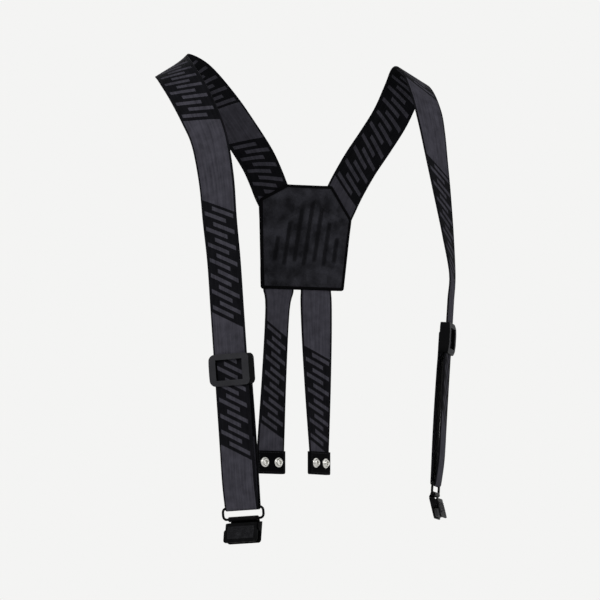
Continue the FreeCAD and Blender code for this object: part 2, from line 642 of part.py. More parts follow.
def rear_tab(side):
    stub = new_body(f"tab_stub_{side}", FreeCAD.Placement(
        tab_point(side, 0, 0), FreeCAD.Rotation()))
    face_block(stub, "-tab_wide / 2", "tab_wide / 2", "patch_foot", f"{TAB_STUB_HEAD}",
               "-web_thick / 2", "web_thick / 2")

    placements = [FreeCAD.Placement(point, FreeCAD.Rotation(Vector(0, 0, 1), twist))
                  for point, twist in tab_stations(side)]
    end = tab_end_placement(side)
    for share in (0.15, 0.4, 0.7, 1.0):
        place = placements[len(TAB_HEIGHTS) - 1].copy()
        place.Base = place.Base + Vector(0, 0, (TAB_FOOT + 1 - TAB_HEIGHTS[-1]) * share)
        placements.append(place)
    curved = ribbon(f"tab_{side}", placements, "tab_wide", "web_thick", "-web_thick / 2")
    holes = []
    for sign in (-1, 1):
        hole = doc.addObject("Part::Cylinder", f"tab_hole_{side}")
        hole.setExpression("Radius", cell("post_hole"))
        hole.setExpression("Height", cell("hole_long"))
        hole.Placement = end.multiply(FreeCAD.Placement(
            Vector(sign * size("snap_apart") / 2, size("hole_long") / 2, 0), FreeCAD.Rotation(Vector(1, 0, 0), 90)))
        holes.append(hole)
    both = doc.addObject("Part::MultiFuse", f"tab_holes_{side}")
    both.Shapes = holes
    tab = doc.addObject("Part::Cut", f"rear_tab_{side}")
    tab.Base, tab.Tool = curved, both
    exported.append(tab)

    layer = "web_thick / 2 + end_ease"
    for name, low, high in (("outer", layer, f"{layer} + end_skin"),
                            ("inner", f"-({layer}) - end_skin", f"-({layer})")):
        plate = new_body(f"tab_end_{name}_{side}", end)
        face_block(plate, "-tab_wide / 2 - 0.3", "tab_wide / 2 + 0.3",
                   "-end_tall / 2", "end_tall / 2", low, high)
        round_edges(plate, "end_round", Vector(0, 1, 0), lambda middle: middle.z < 0)
        for sign in ("-", ""):
            round_hole(plate, f"{sign}snap_apart / 2", "0", "post_hole", "-4", "4")

    for place, sign in (("a", "-"), ("b", "")):
        centre = f"{sign}snap_apart / 2"
        cap = new_body(f"snap_cap_{place}_{side}", end)
        disc = sketch_on(cap, "XZ", "web_thick / 2 + 0.15 + end_skin")
        circle(disc, centre, "0", "cap_radius")
        pad(cap, disc, "1.7", reverse=True)
        post = sketch_on(cap, "XZ", "-web_thick / 2 - 0.1 - end_skin")
        circle(post, centre, "0", "post_radius")
        pad(cap, post, "web_thick + 0.3 + 2 * end_skin", reverse=True)
        socket = new_body(f"snap_socket_{place}_{side}", end)
        base = sketch_on(socket, "XZ", "-web_thick / 2 - 0.15 - end_skin")
        circle(base, centre, "0", "socket_radius")
        pad(socket, base, "3.2")
        bore = sketch_on(socket, "XZ", "-web_thick / 2 - 3.35 - end_skin - 0.5")
        circle(bore, centre, "0", "socket_bore")
        pocket(socket, bore, "2.9", reverse=False)


for side in ("right", "left"):
    shoulder_strap(side)
    adjuster(side)
    strap_loop(side)
    bail(side)
    clip(side)
    rear_tab(side)
layer = "web_thick / 2 + leather_gap"
patch_layer("back_patch_outer", layer, f"{layer} + leather_thick")
patch_layer("back_patch_inner", f"-({layer}) - leather_thick", f"-({layer})")

doc.recompute()
for item in doc.Objects:
    state = set(item.State)
    assert not state & {"Invalid", "Error"}, f"{item.Name}: {state}"

os.makedirs("parts", exist_ok=True)
for body in exported:
    shape = body.Shape
    assert not shape.isNull() and shape.isValid() and shape.Volume > 0, body.Label
    assert len(shape.Solids) == 1, f"{body.Label}: {len(shape.Solids)} solids"
    shape.exportStep(f"parts/{body.Label}.step")
    box = shape.BoundBox
    print(f"{body.Label:26s} {shape.Volume:9.1f} mm3  {box.XLength:6.1f} {box.YLength:6.1f} "
          f"{box.ZLength:6.1f}")
print(len(exported), "parts")
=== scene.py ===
"""Black webbing suspenders with a back patch, sliding adjusters, bail clips and rear snap tabs.

The file is laid out as an add-on and run as a script.  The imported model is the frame: every new
piece takes its place from it, in metres, +Z up, front towards -Y."""

import math

import bmesh
import bpy
from bpy.props import FloatProperty, FloatVectorProperty, PointerProperty
from mathutils import Matrix, Vector


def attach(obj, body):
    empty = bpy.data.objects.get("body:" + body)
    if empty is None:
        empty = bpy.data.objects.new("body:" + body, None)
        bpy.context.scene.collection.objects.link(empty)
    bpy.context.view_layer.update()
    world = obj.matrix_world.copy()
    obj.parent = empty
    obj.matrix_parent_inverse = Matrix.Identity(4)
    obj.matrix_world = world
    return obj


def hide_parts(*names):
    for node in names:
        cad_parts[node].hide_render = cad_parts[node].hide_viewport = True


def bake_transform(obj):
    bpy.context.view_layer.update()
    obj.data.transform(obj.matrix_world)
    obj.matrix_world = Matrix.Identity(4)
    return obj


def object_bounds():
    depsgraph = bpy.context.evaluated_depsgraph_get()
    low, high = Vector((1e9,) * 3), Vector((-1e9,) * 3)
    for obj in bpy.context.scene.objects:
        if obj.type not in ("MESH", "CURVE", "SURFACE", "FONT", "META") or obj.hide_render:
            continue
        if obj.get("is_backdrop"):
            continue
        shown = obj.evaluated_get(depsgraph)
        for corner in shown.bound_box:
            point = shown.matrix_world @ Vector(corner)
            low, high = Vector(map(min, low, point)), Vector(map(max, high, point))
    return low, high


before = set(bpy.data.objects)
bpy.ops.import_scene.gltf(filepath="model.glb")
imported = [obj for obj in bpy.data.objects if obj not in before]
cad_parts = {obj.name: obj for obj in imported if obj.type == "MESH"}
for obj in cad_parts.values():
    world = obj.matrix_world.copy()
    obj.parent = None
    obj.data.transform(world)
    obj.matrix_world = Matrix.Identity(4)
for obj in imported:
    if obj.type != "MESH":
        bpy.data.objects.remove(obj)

bl_info = {
    "name": "Webbing suspenders",
    "version": (1, 0, 0),
    "blender": (4, 5, 0),
    "location": "View3D > Sidebar > Suspenders",
    "description": "Builds a pair of webbing suspenders on its packed frame",
    "category": "Object",
}

MM = 0.001
WEB_WIDE, TAB_WIDE = 40.0, 34.0
SIDES = ("right", "left")
Y_AXIS = Vector((0, 1, 0))
HALF_TURN = Matrix.Rotation(math.pi, 4, "Z")
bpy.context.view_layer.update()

# All sizes below are in millimetres and degrees.

# Stations along each shoulder strap from the patch over the shoulder to the straight front run:
# across, depth, height, turn of the face, rise of the inner edge.
STATIONS = {
    "right": [
        (7.6, 62.0, -151.4, 0, 27.3), (-0.5, 62.0, -135.8, 0, 27.3),
        (-8.5, 62.0, -120.5, 0, 27.3), (-14.5, 61.6, -106.6, 0, 28.5),
        (-24.7, 59.4, -88.0, 0, 33), (-43.0, 54.2, -64.6, 0, 39),
        (-68.2, 45.0, -37.0, 0, 42), (-101.0, 29.0, -11.6, 0, 39),
        (-137.2, 2.0, -3.4, 2, 34), (-146.0, -31.0, -13.2, 14, 31),
        (-144.0, -60.0, -34.7, 28, 21), (-137.0, -77.5, -60.5, 38, 10),
        (-129.8, -89.0, -88.0, 44, 4), (-125.8, -99.6, -129.4, 48, 0),
        (-124.2, -105.6, -170.7, 51, 0), (-120.2, -107.0, -212.7, 53, 0),
    ],
    "left": [
        (58.0, 62.0, -150.7, 0, 25.5), (65.8, 62.0, -134.8, 0, 25.5),
        (73.5, 62.0, -119.0, 0, 25.5), (80.9, 61.6, -105.3, 0, 27),
        (91.8, 59.4, -86.3, 0, 31), (106.2, 54.2, -63.4, 0, 34),
        (119.0, 44.0, -38.8, 0, 33), (126.2, 27.0, -12.2, 0, 30),
        (123.8, 2.0, -0.4, 2, 28), (120.5, -30.0, -11.2, 7, 26),
        (118.2, -60.0, -38.4, 15, 18), (117.4, -76.0, -64.9, 25, 9),
        (117.4, -89.0, -98.4, 34, 3), (118.8, -99.8, -134.9, 42, 0),
        (122.6, -105.6, -176.1, 51, 0), (127.0, -107.0, -218.1, 60, 0),
    ],
}
# Foot of each front run, heights of what hangs on it, and how far the clips lean.
RUN_FOOT = {"right": (-101.0, -104.0, -461.0), "left": (114.0, -102.0, -440.0)}
ADJUSTER_AT = {"right": -321.0, "left": -284.0}
BAIL_AT = {"right": -459.0, "left": -432.0}
CLIP_TILT = {"right": 14.0, "left": 17.0}
TOP_BAR = 13.0
# Places handed to each length of webbing, which does not use them: for a strap this height and
# this far above its adjuster, for a loop so far below the adjuster and so far above the bail, and
# for a tab this length.
SLIDE_FROM, SLIDE_ABOVE, SLIDE_BELOW, SLIDE_BAIL, TAB_BEND = -100.0, 18.0, 24.0, 8.0, 12

# Rear tabs, from between the patch layers to the foot.
TAB_ACROSS = {"right": (-0.5, -8.4), "left": (41.4, 45.6)}
TAB_DEPTH = (62.0, 64.0)
TAB_TWIST = {"right": (0, 22, 22, 14), "left": (0, -6, 14, 33)}
TAB_HEIGHTS = (-224.4, -243.0, -316.0, -390.0)
TAB_TOP, TAB_FOOT, TAB_END = -204.0, -416.8, 12.0

# Back patch, seen from the front about its centre: corners, corner radius, and the distances of
# its seam and its painted border from the edge.
PATCH_CENTRE = (30.0, 62.0)
PATCH_OUTLINE = [(-49.8, -223.2), (42.2, -223.2), (51, -147.4), (29, -112.6), (-22, -112.6),
                 (-52, -128.8)]
PATCH_ROUND, PATCH_SEAM, PATCH_PAINT = 3.0, 3.9, 3.2
LEATHER_THICK = 1.15
# Skin of a patch layer: its height over the webbing's middle, then what webbing and the pinched
# border add, and what the seam, the round edge and the flutes take away.
SKIN, SKIN_WEB, SKIN_BORDER = 1.25, 0.85, 0.28
SKIN_SEAM, SKIN_EDGE, SKIN_FLUTE = 0.22, 0.55, 0.55
# Length of each webbing end that a box of stitches holds.
SEWN_LENGTH = {"right": 21.0, "left": 9.0, "tab": 13.0}
# Flutes of the patch: middle across, foot and head.
FLUTES = [(-33.0, -195.0, -166.0), (-22.0, -199.0, -150.0), (-11.0, -195.0, -136.0),
          (0.0, -199.0, -128.0), (11.0, -195.0, -136.0), (22.0, -199.0, -150.0),
          (33.0, -195.0, -166.0)]
FLUTE_HALF, FLUTE_LEAN, FLUTE_LEVEL = 1.6, 0.16, -180.0

# Groups of the woven motif on each piece, as the first line and the line after the last one,
# counted in motif pitches from the piece's upper end, and the dark margin before each group.
MOTIF_GROUPS = {
    "strap_right": ((0, 12), (18, 43), (55, 69)),
    "strap_left": ((5, 30), (43, 57)),
    "loop_right": ((-2, 12), (30, 45)),
    "loop_left": ((-2, 12), (30, 45)),
    "tab_right": ((8, 21),),
    "tab_left": ((11, 23),),
}
MOTIF_MARGIN = 3.0
# A line's rise for each step across, its share of a pitch, and its half length and its shift as
# shares of the webbing's half width.
MOTIF_LEAN, MOTIF_LINE, MOTIF_REACH, MOTIF_SHIFT = -0.50, 0.52, 0.60, 0.22
SELVEDGE = 2.1
WRAP_ROWS = (-13.5, -17.5)
WRAP_FACES = (("back", HALF_TURN, -7.4), ("front", Matrix.Identity(4), -3.9))

# Bail, from its upper bar's middle: half width, height, set-back, wire radius, bend radius.
BAIL_HALF, BAIL_TALL, BAIL_BEHIND, BAIL_WIRE, BAIL_BEND = 24.2, 11.2, -4.05, 1.25, 4.0
# Clip, from its hinge on the bail: thumb face, rubber pads and spring.
THUMB_SIZE, THUMB_AT = (31.6, 0.7, 12.6), (0, 3.75, -14.6)
KNURL_COUNT, KNURL_PITCH, KNURL_FIRST = (16, 6), 1.9, (-14.25, 4.25, -19.35)
PAD_WIDE, PAD_TALL, PAD_AT, PAD_RIB = 30, 7.5, -19.25, 0.26
COIL_RADIUS, COIL_WIRE, COIL_TURNS, COIL_STEPS, COIL_WIDE = 1.55, 0.38, 6.25, 18, 9.4
PIN_DEPTH, PIN_HEIGHT = 0.2, -8
# Snaps: distance from the tab's middle, and the cap's and socket's profiles as (radius, depth).
SNAP_HALF = 8.6
SNAP_CAP = [(0, 4.0), (2.2, 3.95), (3.8, 3.7), (4.8, 3.2), (5.35, 2.65), (5.4, 2.35),
            (5.2, 2.17), (4.4, 2.15), (0, 2.15)]
SNAP_SOCKET = [(0, -3.0), (1.95, -3.0), (2.0, -3.2), (2.0, -4.7), (2.3, -5.2), (2.75, -5.35),
               (3.2, -5.2), (3.5, -4.7), (3.6, -3.7), (3.95, -3.25), (4.7, -3.05),
               (5.1, -2.75), (5.2, -2.4), (5.0, -2.17), (4.0, -2.15), (0, -2.15)]
TAB_SEAM_HALF, TAB_SEAM_TALL, TAB_SEAM_OUT = 15.2, 10.2, 2.1

# Stage: height of the floor, lamps as name, place from the object's middle, watts and size, and
# the camera's azimuth, elevation, distance and lens.
FLOOR_HEIGHT, BACKDROP = -1.45, 0xF4F4F3
LAMPS = (("key", (-1.6, -2.4, 1.6), 60.0, 1.6),
         ("fill", (2.2, -1.6, 0.4), 17.0, 1.8),
         ("back", (0.6, 2.4, 1.4), 40.0, 1.6))
CAMERA_AZIMUTH, CAMERA_ELEVATION, CAMERA_DISTANCE, CAMERA_LENS = -20.3, -4.8, 4.487, 262.0


def srgb(value):
    """Linear colour of a 0xRRGGBB screen colour."""
    parts = [((value >> bits) & 255) / 255 for bits in (16, 8, 0)]
    linear = [c / 12.92 if c <= 0.04045 else ((c + 0.055) / 1.055) ** 2.4 for c in parts]
    return (*linear, 1.0)


def length(name, value, text):
    return FloatProperty(name=name, description=text, default=value * MM, unit="LENGTH", min=0.0)


def colour(name, value, text):
    return FloatVectorProperty(
        name=name, description=text, default=srgb(value), size=4, subtype="COLOR",
        min=0.0, max=1.0)


class SuspenderSizes(bpy.types.PropertyGroup):
    """Sizes a user may change without leaving the frame."""

    web_wide: length("Strap width", WEB_WIDE, "Width of the shoulder webbing")
    web_thick: length("Webbing thickness", 1.6, "Thickness of all the webbing")
    tab_wide: length("Tab width", TAB_WIDE, "Width of the rear tabs")
    rib_pitch: length("Rib pitch", 1.3, "Distance between two weft ribs of the webbing")
    motif_pitch: length("Motif pitch", 8.0, "Distance between two lines of a motif group")
    stitch_pitch: length("Stitch pitch", 2.9, "Distance between two stitches")
    thread: length("Thread", 0.55, "Thickness of the sewing thread")


class SuspenderColours(bpy.types.PropertyGroup):
    """Colours of the yarns, coatings and metals."""

    web_ground: colour("Webbing ground", 0x38373E, "Plain woven ground of the webbing")
    web_motif: colour("Webbing motif", 0x0F0F12, "Dark yarn of the motif and the selvedges")
    leather: colour("Patch", 0x141417, "Coated leather of the patch")
    edge_paint: colour("Patch edge", 0x040405, "Paint of the patch's border and of the tab ends")
    thread: colour("Thread", 0x161619, "Sewing thread")
    plastic: colour("Adjuster plastic", 0x09090A, "Moulded adjusters")
    coat: colour("Metal coating", 0x070708, "Powder coat of bails and clips")
    thumb_face: colour("Thumb face", 0x1A1A1C, "Powder coat of the clips where thumbs rub it")
    nickel: colour("Nickel", 0xD8D7D2, "Snaps")
    floor: colour("Floor", 0xE9E9E8, "Stage")


# --- routes


def shift(*place):
    """Matrix that moves by so many millimetres."""
    return Matrix.Translation([part * MM for part in place])


def placed(point, across, along):
    """Matrix with Z along the webbing, X nearest `across` and Y out of its face."""
    z_axis = Vector(along).normalized()
    x_axis = (Vector(across) - z_axis * z_axis.dot(across)).normalized()
    y_axis = z_axis.cross(x_axis)
    matrix = Matrix((x_axis, y_axis, z_axis)).transposed().to_4x4()
    matrix.translation = point
    return matrix


def width_direction(side, turn, rise):
    """Direction across a strap's face, for a turn about the upright and a rise of one edge."""
    turn, rise = math.radians(turn), math.radians(rise)
    inward = 1 if side == "right" else -1
    return Vector((
        math.cos(rise) * math.cos(turn),
        -inward * math.cos(rise) * math.sin(turn),
        inward * math.sin(rise)))


def run_point(side, height):
    """Point of the straight front run at a height in millimetres, in metres."""
    start, foot = Vector(STATIONS[side][-1][:3]), Vector(RUN_FOOT[side])
    share = (height - start.z) / (foot.z - start.z)
    return (start + (foot - start) * share) * MM


def run_frame(side, height):
    """Frame on the straight run: X across the strap, Y out of its face, Z up along it."""
    across = width_direction(side, STATIONS[side][-1][3], 0)
    upward = Vector(STATIONS[side][-1][:3]) - Vector(RUN_FOOT[side])
    return placed(run_point(side, height), -across, upward)


def catmull(before, first, second, after, share):
    """Point of a smooth curve between `first` and `second`."""
    t2, t3 = share * share, share * share * share
    return 0.5 * (
        2 * first + (second - before) * share
        + (2 * before - 5 * first + 4 * second - after) * t2
        + (3 * first - before - 3 * second + after) * t3)


def smooth_rows(rows, step):
    """Rows of numbers, the first three a place, refilled to about `step` apart."""
    rows = [Vector(row) for row in rows]
    rows = [2 * rows[0] - rows[1], *rows, 2 * rows[-1] - rows[-2]]
    filled = []
    for index in range(1, len(rows) - 2):
        gap = (rows[index + 1] - rows[index]).to_3d().length
        count = max(1, round(gap / step))
        filled += [catmull(*rows[index - 1:index + 3], part / count) for part in range(count)]
    return filled + [rows[-2]]


def frames_along(points, acrosses):
    """Frames at each point, looking along the line through its neighbours."""
    frames = []
    last = len(points) - 1
    for index, point in enumerate(points):
        along = points[min(index + 1, last)] - points[max(index - 1, 0)]
        frames.append(placed(point, acrosses[index], along))
    return frames


def strap_frames(side):
    """Frames from under the patch over the shoulder down to the adjuster's top bar."""
    stations = list(STATIONS[side])
    top, low = stations[-1][2], ADJUSTER_AT[side] + TOP_BAR
    for share in (0.5, 1.0):
        point = run_point(side, top + (low - top) * share) / MM
        stations.append((*point, stations[-1][3], 0))
    rows = smooth_rows(stations, 5.0)
    return frames_along([Vector(row[:3]) * MM for row in rows],
                        [width_direction(side, *row[3:]) for row in rows])


def loop_frames(side):
    """Frames from the adjuster's top bar down round the bail and up to the middle bar, drawn as
    (depth, height) from the adjuster's middle."""
    base = run_frame(side, ADJUSTER_AT[side])
    drop = (run_point(side, ADJUSTER_AT[side]) - run_point(side, BAIL_AT[side])).length / MM
    turn, wrap = BAIL_WIRE + 0.9, 2.2
    line = [(0, TOP_BAR), (0, -10), (0, -34), (0, -drop * 0.5), (0.2, 34 - drop),
            (-0.3, 18 - drop)]
    line += [(BAIL_BEHIND + turn * math.cos(a), -drop - turn * math.sin(a))
             for a in (math.radians(18 * k) for k in range(11))]
    line += [(-6.4, 14 - drop), (-6.9, -drop * 0.70), (-7.1, -drop * 0.48), (-6.9, -38),
             (-6.6, -20), (-6.6, -8)]
    line += [(-4.4 - wrap * math.cos(a), 3.6 + wrap * math.sin(a))
             for a in (math.radians(22.5 * k) for k in range(9))]
    line += [(-2.25, -5), (-3.4, -12), (-4.9, -19)]
    rows = smooth_rows([(0, depth, height) for depth, height in line], 2.2)
    points = [base @ (row.to_3d() * MM) for row in rows]
    across = -base.col[0].to_3d()
    return frames_along(points, [across] * len(points))


def tab_frames(side):
    """Frames from between the patch layers down to the tab's foot."""
    first, second = TAB_ACROSS[side]
    rows = [(first, TAB_DEPTH[0], TAB_TOP, 0), (first, TAB_DEPTH[0], TAB_TOP - 10, 0)]
    for height, twist in zip(TAB_HEIGHTS, TAB_TWIST[side]):
        share = (TAB_HEIGHTS[0] - height) / (TAB_HEIGHTS[0] - TAB_HEIGHTS[-1])
        depth = TAB_DEPTH[0] + (TAB_DEPTH[1] - TAB_DEPTH[0]) * share
        rows.append((first + (second - first) * share, depth, height, twist))
    for height in ((TAB_HEIGHTS[-1] + TAB_FOOT) / 2, TAB_FOOT + 1):
        rows.append((second, TAB_DEPTH[1], height, TAB_TWIST[side][-1]))
    rows = smooth_rows(rows, 4.0)
    return frames_along([Vector(row[:3]) * MM for row in rows],
                        [width_direction("left", row[3], 0) for row in rows])


def tab_end_frame(side):
    """Frame at the middle of a tab's end piece: X across, Y away from the wearer, Z up."""
    middle = shift(TAB_ACROSS[side][1], TAB_DEPTH[1], TAB_FOOT + TAB_END)
    return middle @ Matrix.Rotation(math.radians(TAB_TWIST[side][-1]), 4, "Z")


def clip_frame(side):
    """Frame on the bail's lower bar: X across, Y outward, Z up, tilted as the clip hangs."""
    hinge = run_frame(side, BAIL_AT[side]) @ shift(0, BAIL_BEHIND, -BAIL_TALL)
    return hinge @ Matrix.Rotation(math.radians(CLIP_TILT[side]), 4, "X")


# --- meshes


def finished(name, bm, finish, smooth_angle):
    """Closes a bmesh into an object at the origin, shaded smooth below an angle."""
    mesh = bpy.data.meshes.new(name)
    for face in bm.faces:
        face.smooth = True
    bm.to_mesh(mesh)
    bm.free()
    mesh.set_sharp_from_angle(angle=math.radians(smooth_angle))
    mesh.materials.append(finish_named(finish))
    obj = bpy.data.objects.new(name, mesh)
    bpy.context.scene.collection.objects.link(obj)
    return obj


def soften(obj, width, segments=3, angle=35.0):
    """Rounds the edges of a hard piece."""
    bevel = obj.modifiers.new("edges", "BEVEL")
    bevel.width = width * MM
    bevel.segments = segments
    bevel.limit_method = "ANGLE"
    bevel.angle_limit = math.radians(angle)
    bevel.harden_normals = True
    return obj


def belongs(obj, body, slot, *nodes):
    """Puts a piece on its body and in place of CAD nodes. The slot is not used."""
    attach(obj, body)
    if nodes:
        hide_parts(*nodes)


def sweep(bm, section, frames, closed=False):
    """Draws a closed section (millimetres) through the frames.  The UV map "route" holds metres
    across and metres along, counted across from the other edge on the underside, so that a
    pattern reads the same way round on both faces."""
    across, along, above = (bm.verts.layers.float.new(key) for key in ("across", "along", "above"))
    ring = []
    for x, y in section:
        vert = bm.verts.new(frames[0] @ (Vector((x, y, 0)) * MM))
        vert[across], vert[along], vert[above] = x * MM, 0.0, y
        ring.append(vert)
    edges = [bm.edges.new((ring[i - 1], ring[i])) for i in range(len(ring))]
    if not closed:
        bmesh.ops.contextual_create(bm, geom=edges)
    travelled = 0.0
    for before, after in zip(frames, frames[1:]):
        travelled += (after.translation - before.translation).length
        made = bmesh.ops.extrude_edge_only(bm, edges=edges)["geom"]
        verts = [item for item in made if isinstance(item, bmesh.types.BMVert)]
        edges = [item for item in made if isinstance(item, bmesh.types.BMEdge)]
        bmesh.ops.transform(bm, matrix=after @ before.inverted(), verts=verts)
        for vert in verts:
            vert[along] = travelled
    if closed:
        bmesh.ops.remove_doubles(bm, verts=bm.verts, dist=0.02 * MM)
    else:
        bmesh.ops.contextual_create(bm, geom=edges)
    bmesh.ops.recalc_face_normals(bm, faces=bm.faces)
    uv = bm.loops.layers.uv.new("route")
    for face in bm.faces:
        way = 1 if sum(vert[above] for vert in face.verts) > 0 else -1
        for loop in face.loops:
            loop[uv].uv = (loop.vert[across] * way, loop.vert[along])


def webbing_section(wide, thick):
    """Flat woven section: even in the middle, a groove beside each rounded selvedge."""
    half, rise, cuts = wide / 2, thick / 2, 10
    flat = half - 2.4
    face = [(flat * (2 * k / cuts - 1), rise) for k in range(cuts + 1)]
    edge = [(half - 1.9, rise * 0.72), (half - 1.4, rise * 0.98), (half - 0.7, rise * 1.02),
            (half - 0.15, rise * 0.62), (half, 0.0)]
    top = [(-x, y) for x, y in reversed(edge[:-1])] + face + edge
    return top + [(-x, -y) for x, y in top[:-1]] + [(-half, 0.0)]


def circle_section(radius, count):
    """Round section with so many corners."""
    angles = [2 * math.pi * k / count for k in range(count)]
    return [(radius * math.cos(angle), radius * math.sin(angle)) for angle in angles]


def turned(bm, profile, base):
    """Spins a profile of (radius, depth) in millimetres about the Y axis of `base`."""
    verts = [bm.verts.new(base @ (Vector((r, y, 0)) * MM)) for r, y in profile]
    edges = [bm.edges.new(pair) for pair in zip(verts, verts[1:])]
    bmesh.ops.spin(bm, geom=verts + edges, cent=base.translation, axis=base.col[1].to_3d(),
                   angle=2 * math.pi, steps=36, use_merge=True)
    bmesh.ops.remove_doubles(bm, verts=bm.verts, dist=0.005 * MM)
    bmesh.ops.recalc_face_normals(bm, faces=bm.faces)


def dressed(node, finish, width, axis=None):
    """Copy of a CAD node, merged and with rounded edges, which stands for the node.  With an
    axis, the UV map "facing" says how squarely each face looks along it."""
    bm = bmesh.new()
    bm.from_mesh(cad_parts[node].data)
    bmesh.ops.remove_doubles(bm, verts=bm.verts, dist=1e-6)
    bmesh.ops.dissolve_limit(bm, angle_limit=math.radians(0.5), verts=bm.verts, edges=bm.edges)
    if axis:
        facing = bm.loops.layers.uv.new("facing")
        for face in bm.faces:
            for loop in face.loops:
                loop[facing].uv = (abs(face.normal.dot(axis)), 0)
    return soften(finished(node + "_made", bm, finish, 30.0), width)


def box(bm, size, centre):
    """Adds a box by its size and centre in millimetres."""
    scale = Matrix.Diagonal((*(side * MM for side in size), 1))
    bmesh.ops.create_cube(bm, size=1.0, matrix=shift(*centre) @ scale)


def spaced(points, pitch):
    """Places about `pitch` apart along a line, each with the line's direction there."""
    spans = [(b - a).length for a, b in zip(points, points[1:])]
    total = sum(spans)
    count = max(1, round(total / pitch))
    places = []
    for index in range(count):
        wanted = (index + 0.5) * total / count
        leg = 0
        while leg < len(spans) - 1 and wanted > spans[leg]:
            wanted -= spans[leg]
            leg += 1
        direction = (points[leg + 1] - points[leg]).normalized()
        places.append((points[leg] + direction * wanted, direction))
    return places


def sewn(name, lines, base, lift=None):
    """Rows of stitches.  Each line lists points in millimetres in the frame `base`, whose Y axis
    stands out of the cloth; `lift` gives the cloth's height at a point."""
    sizes = bpy.context.scene.suspender_sizes
    pitch, thread = sizes.stitch_pitch / MM, sizes.thread / MM
    bm = bmesh.new()
    for line in lines:
        for place, direction in spaced([Vector(point) for point in line], pitch):
            sign = 1.0
            if lift:
                place.y, sign = lift(place.x, place.z)
            flat = placed(place * MM, direction.cross(Y_AXIS * sign), direction)
            shape = Matrix.Diagonal((thread * 0.62, thread * 0.5, pitch * 0.40, 1))
            bmesh.ops.create_uvsphere(
                bm, u_segments=6, v_segments=5, radius=MM, matrix=base @ flat @ shape)
    return finished(name, bm, "bonded_nylon_thread", 80.0)


# --- materials


def feed(tree, node, inputs):
    """Sets or links inputs.  An input is a value, a socket, or a node's first output."""
    for key, value in inputs.items() if isinstance(inputs, dict) else enumerate(inputs):
        if isinstance(value, bpy.types.Node):
            value = value.outputs[0]
        if isinstance(value, bpy.types.NodeSocket):
            tree.links.new(value, node.inputs[key])
        else:
            node.inputs[key].default_value = value


def add(tree, kind, inputs=(), **settings):
    """Adds a node with its settings and links."""
    node = tree.nodes.new("ShaderNode" + kind)
    for key, value in settings.items():
        setattr(node, key, value)
    feed(tree, node, inputs)
    return node


def main_node(tree, kind):
    """The node of a type that a new tree has."""
    return next(node for node in tree.nodes if node.type == kind)


def surface(tree, shader, colour, relief, rough, specular=0.5, **others):
    """Feeds the main shader.  Relief is a pattern, its strength and its depth in millimetres.
    Roughness is a number, or a pattern with what multiplies it and what is added."""
    height, strength, depth = relief
    if isinstance(rough, tuple):
        rough = add(tree, "Math", rough, operation="MULTIPLY_ADD")
    bump = add(tree, "Bump", {"Height": height, "Strength": strength, "Distance": depth * MM})
    feed(tree, shader, {"Base Color": colour.outputs[2], "Normal": bump, "Roughness": rough,
                        "Specular IOR Level": specular, **others})


def times(tint, factor):
    """The colour so many times as bright."""
    return [min(1.0, part * factor) for part in tint[:3]] + [1.0]


def web_width(kind):
    """Width of the webbing of a kind of piece: rear tabs are narrower than the rest."""
    sizes = bpy.context.scene.suspender_sizes
    return sizes.tab_wide if kind.startswith("tab") else sizes.web_wide


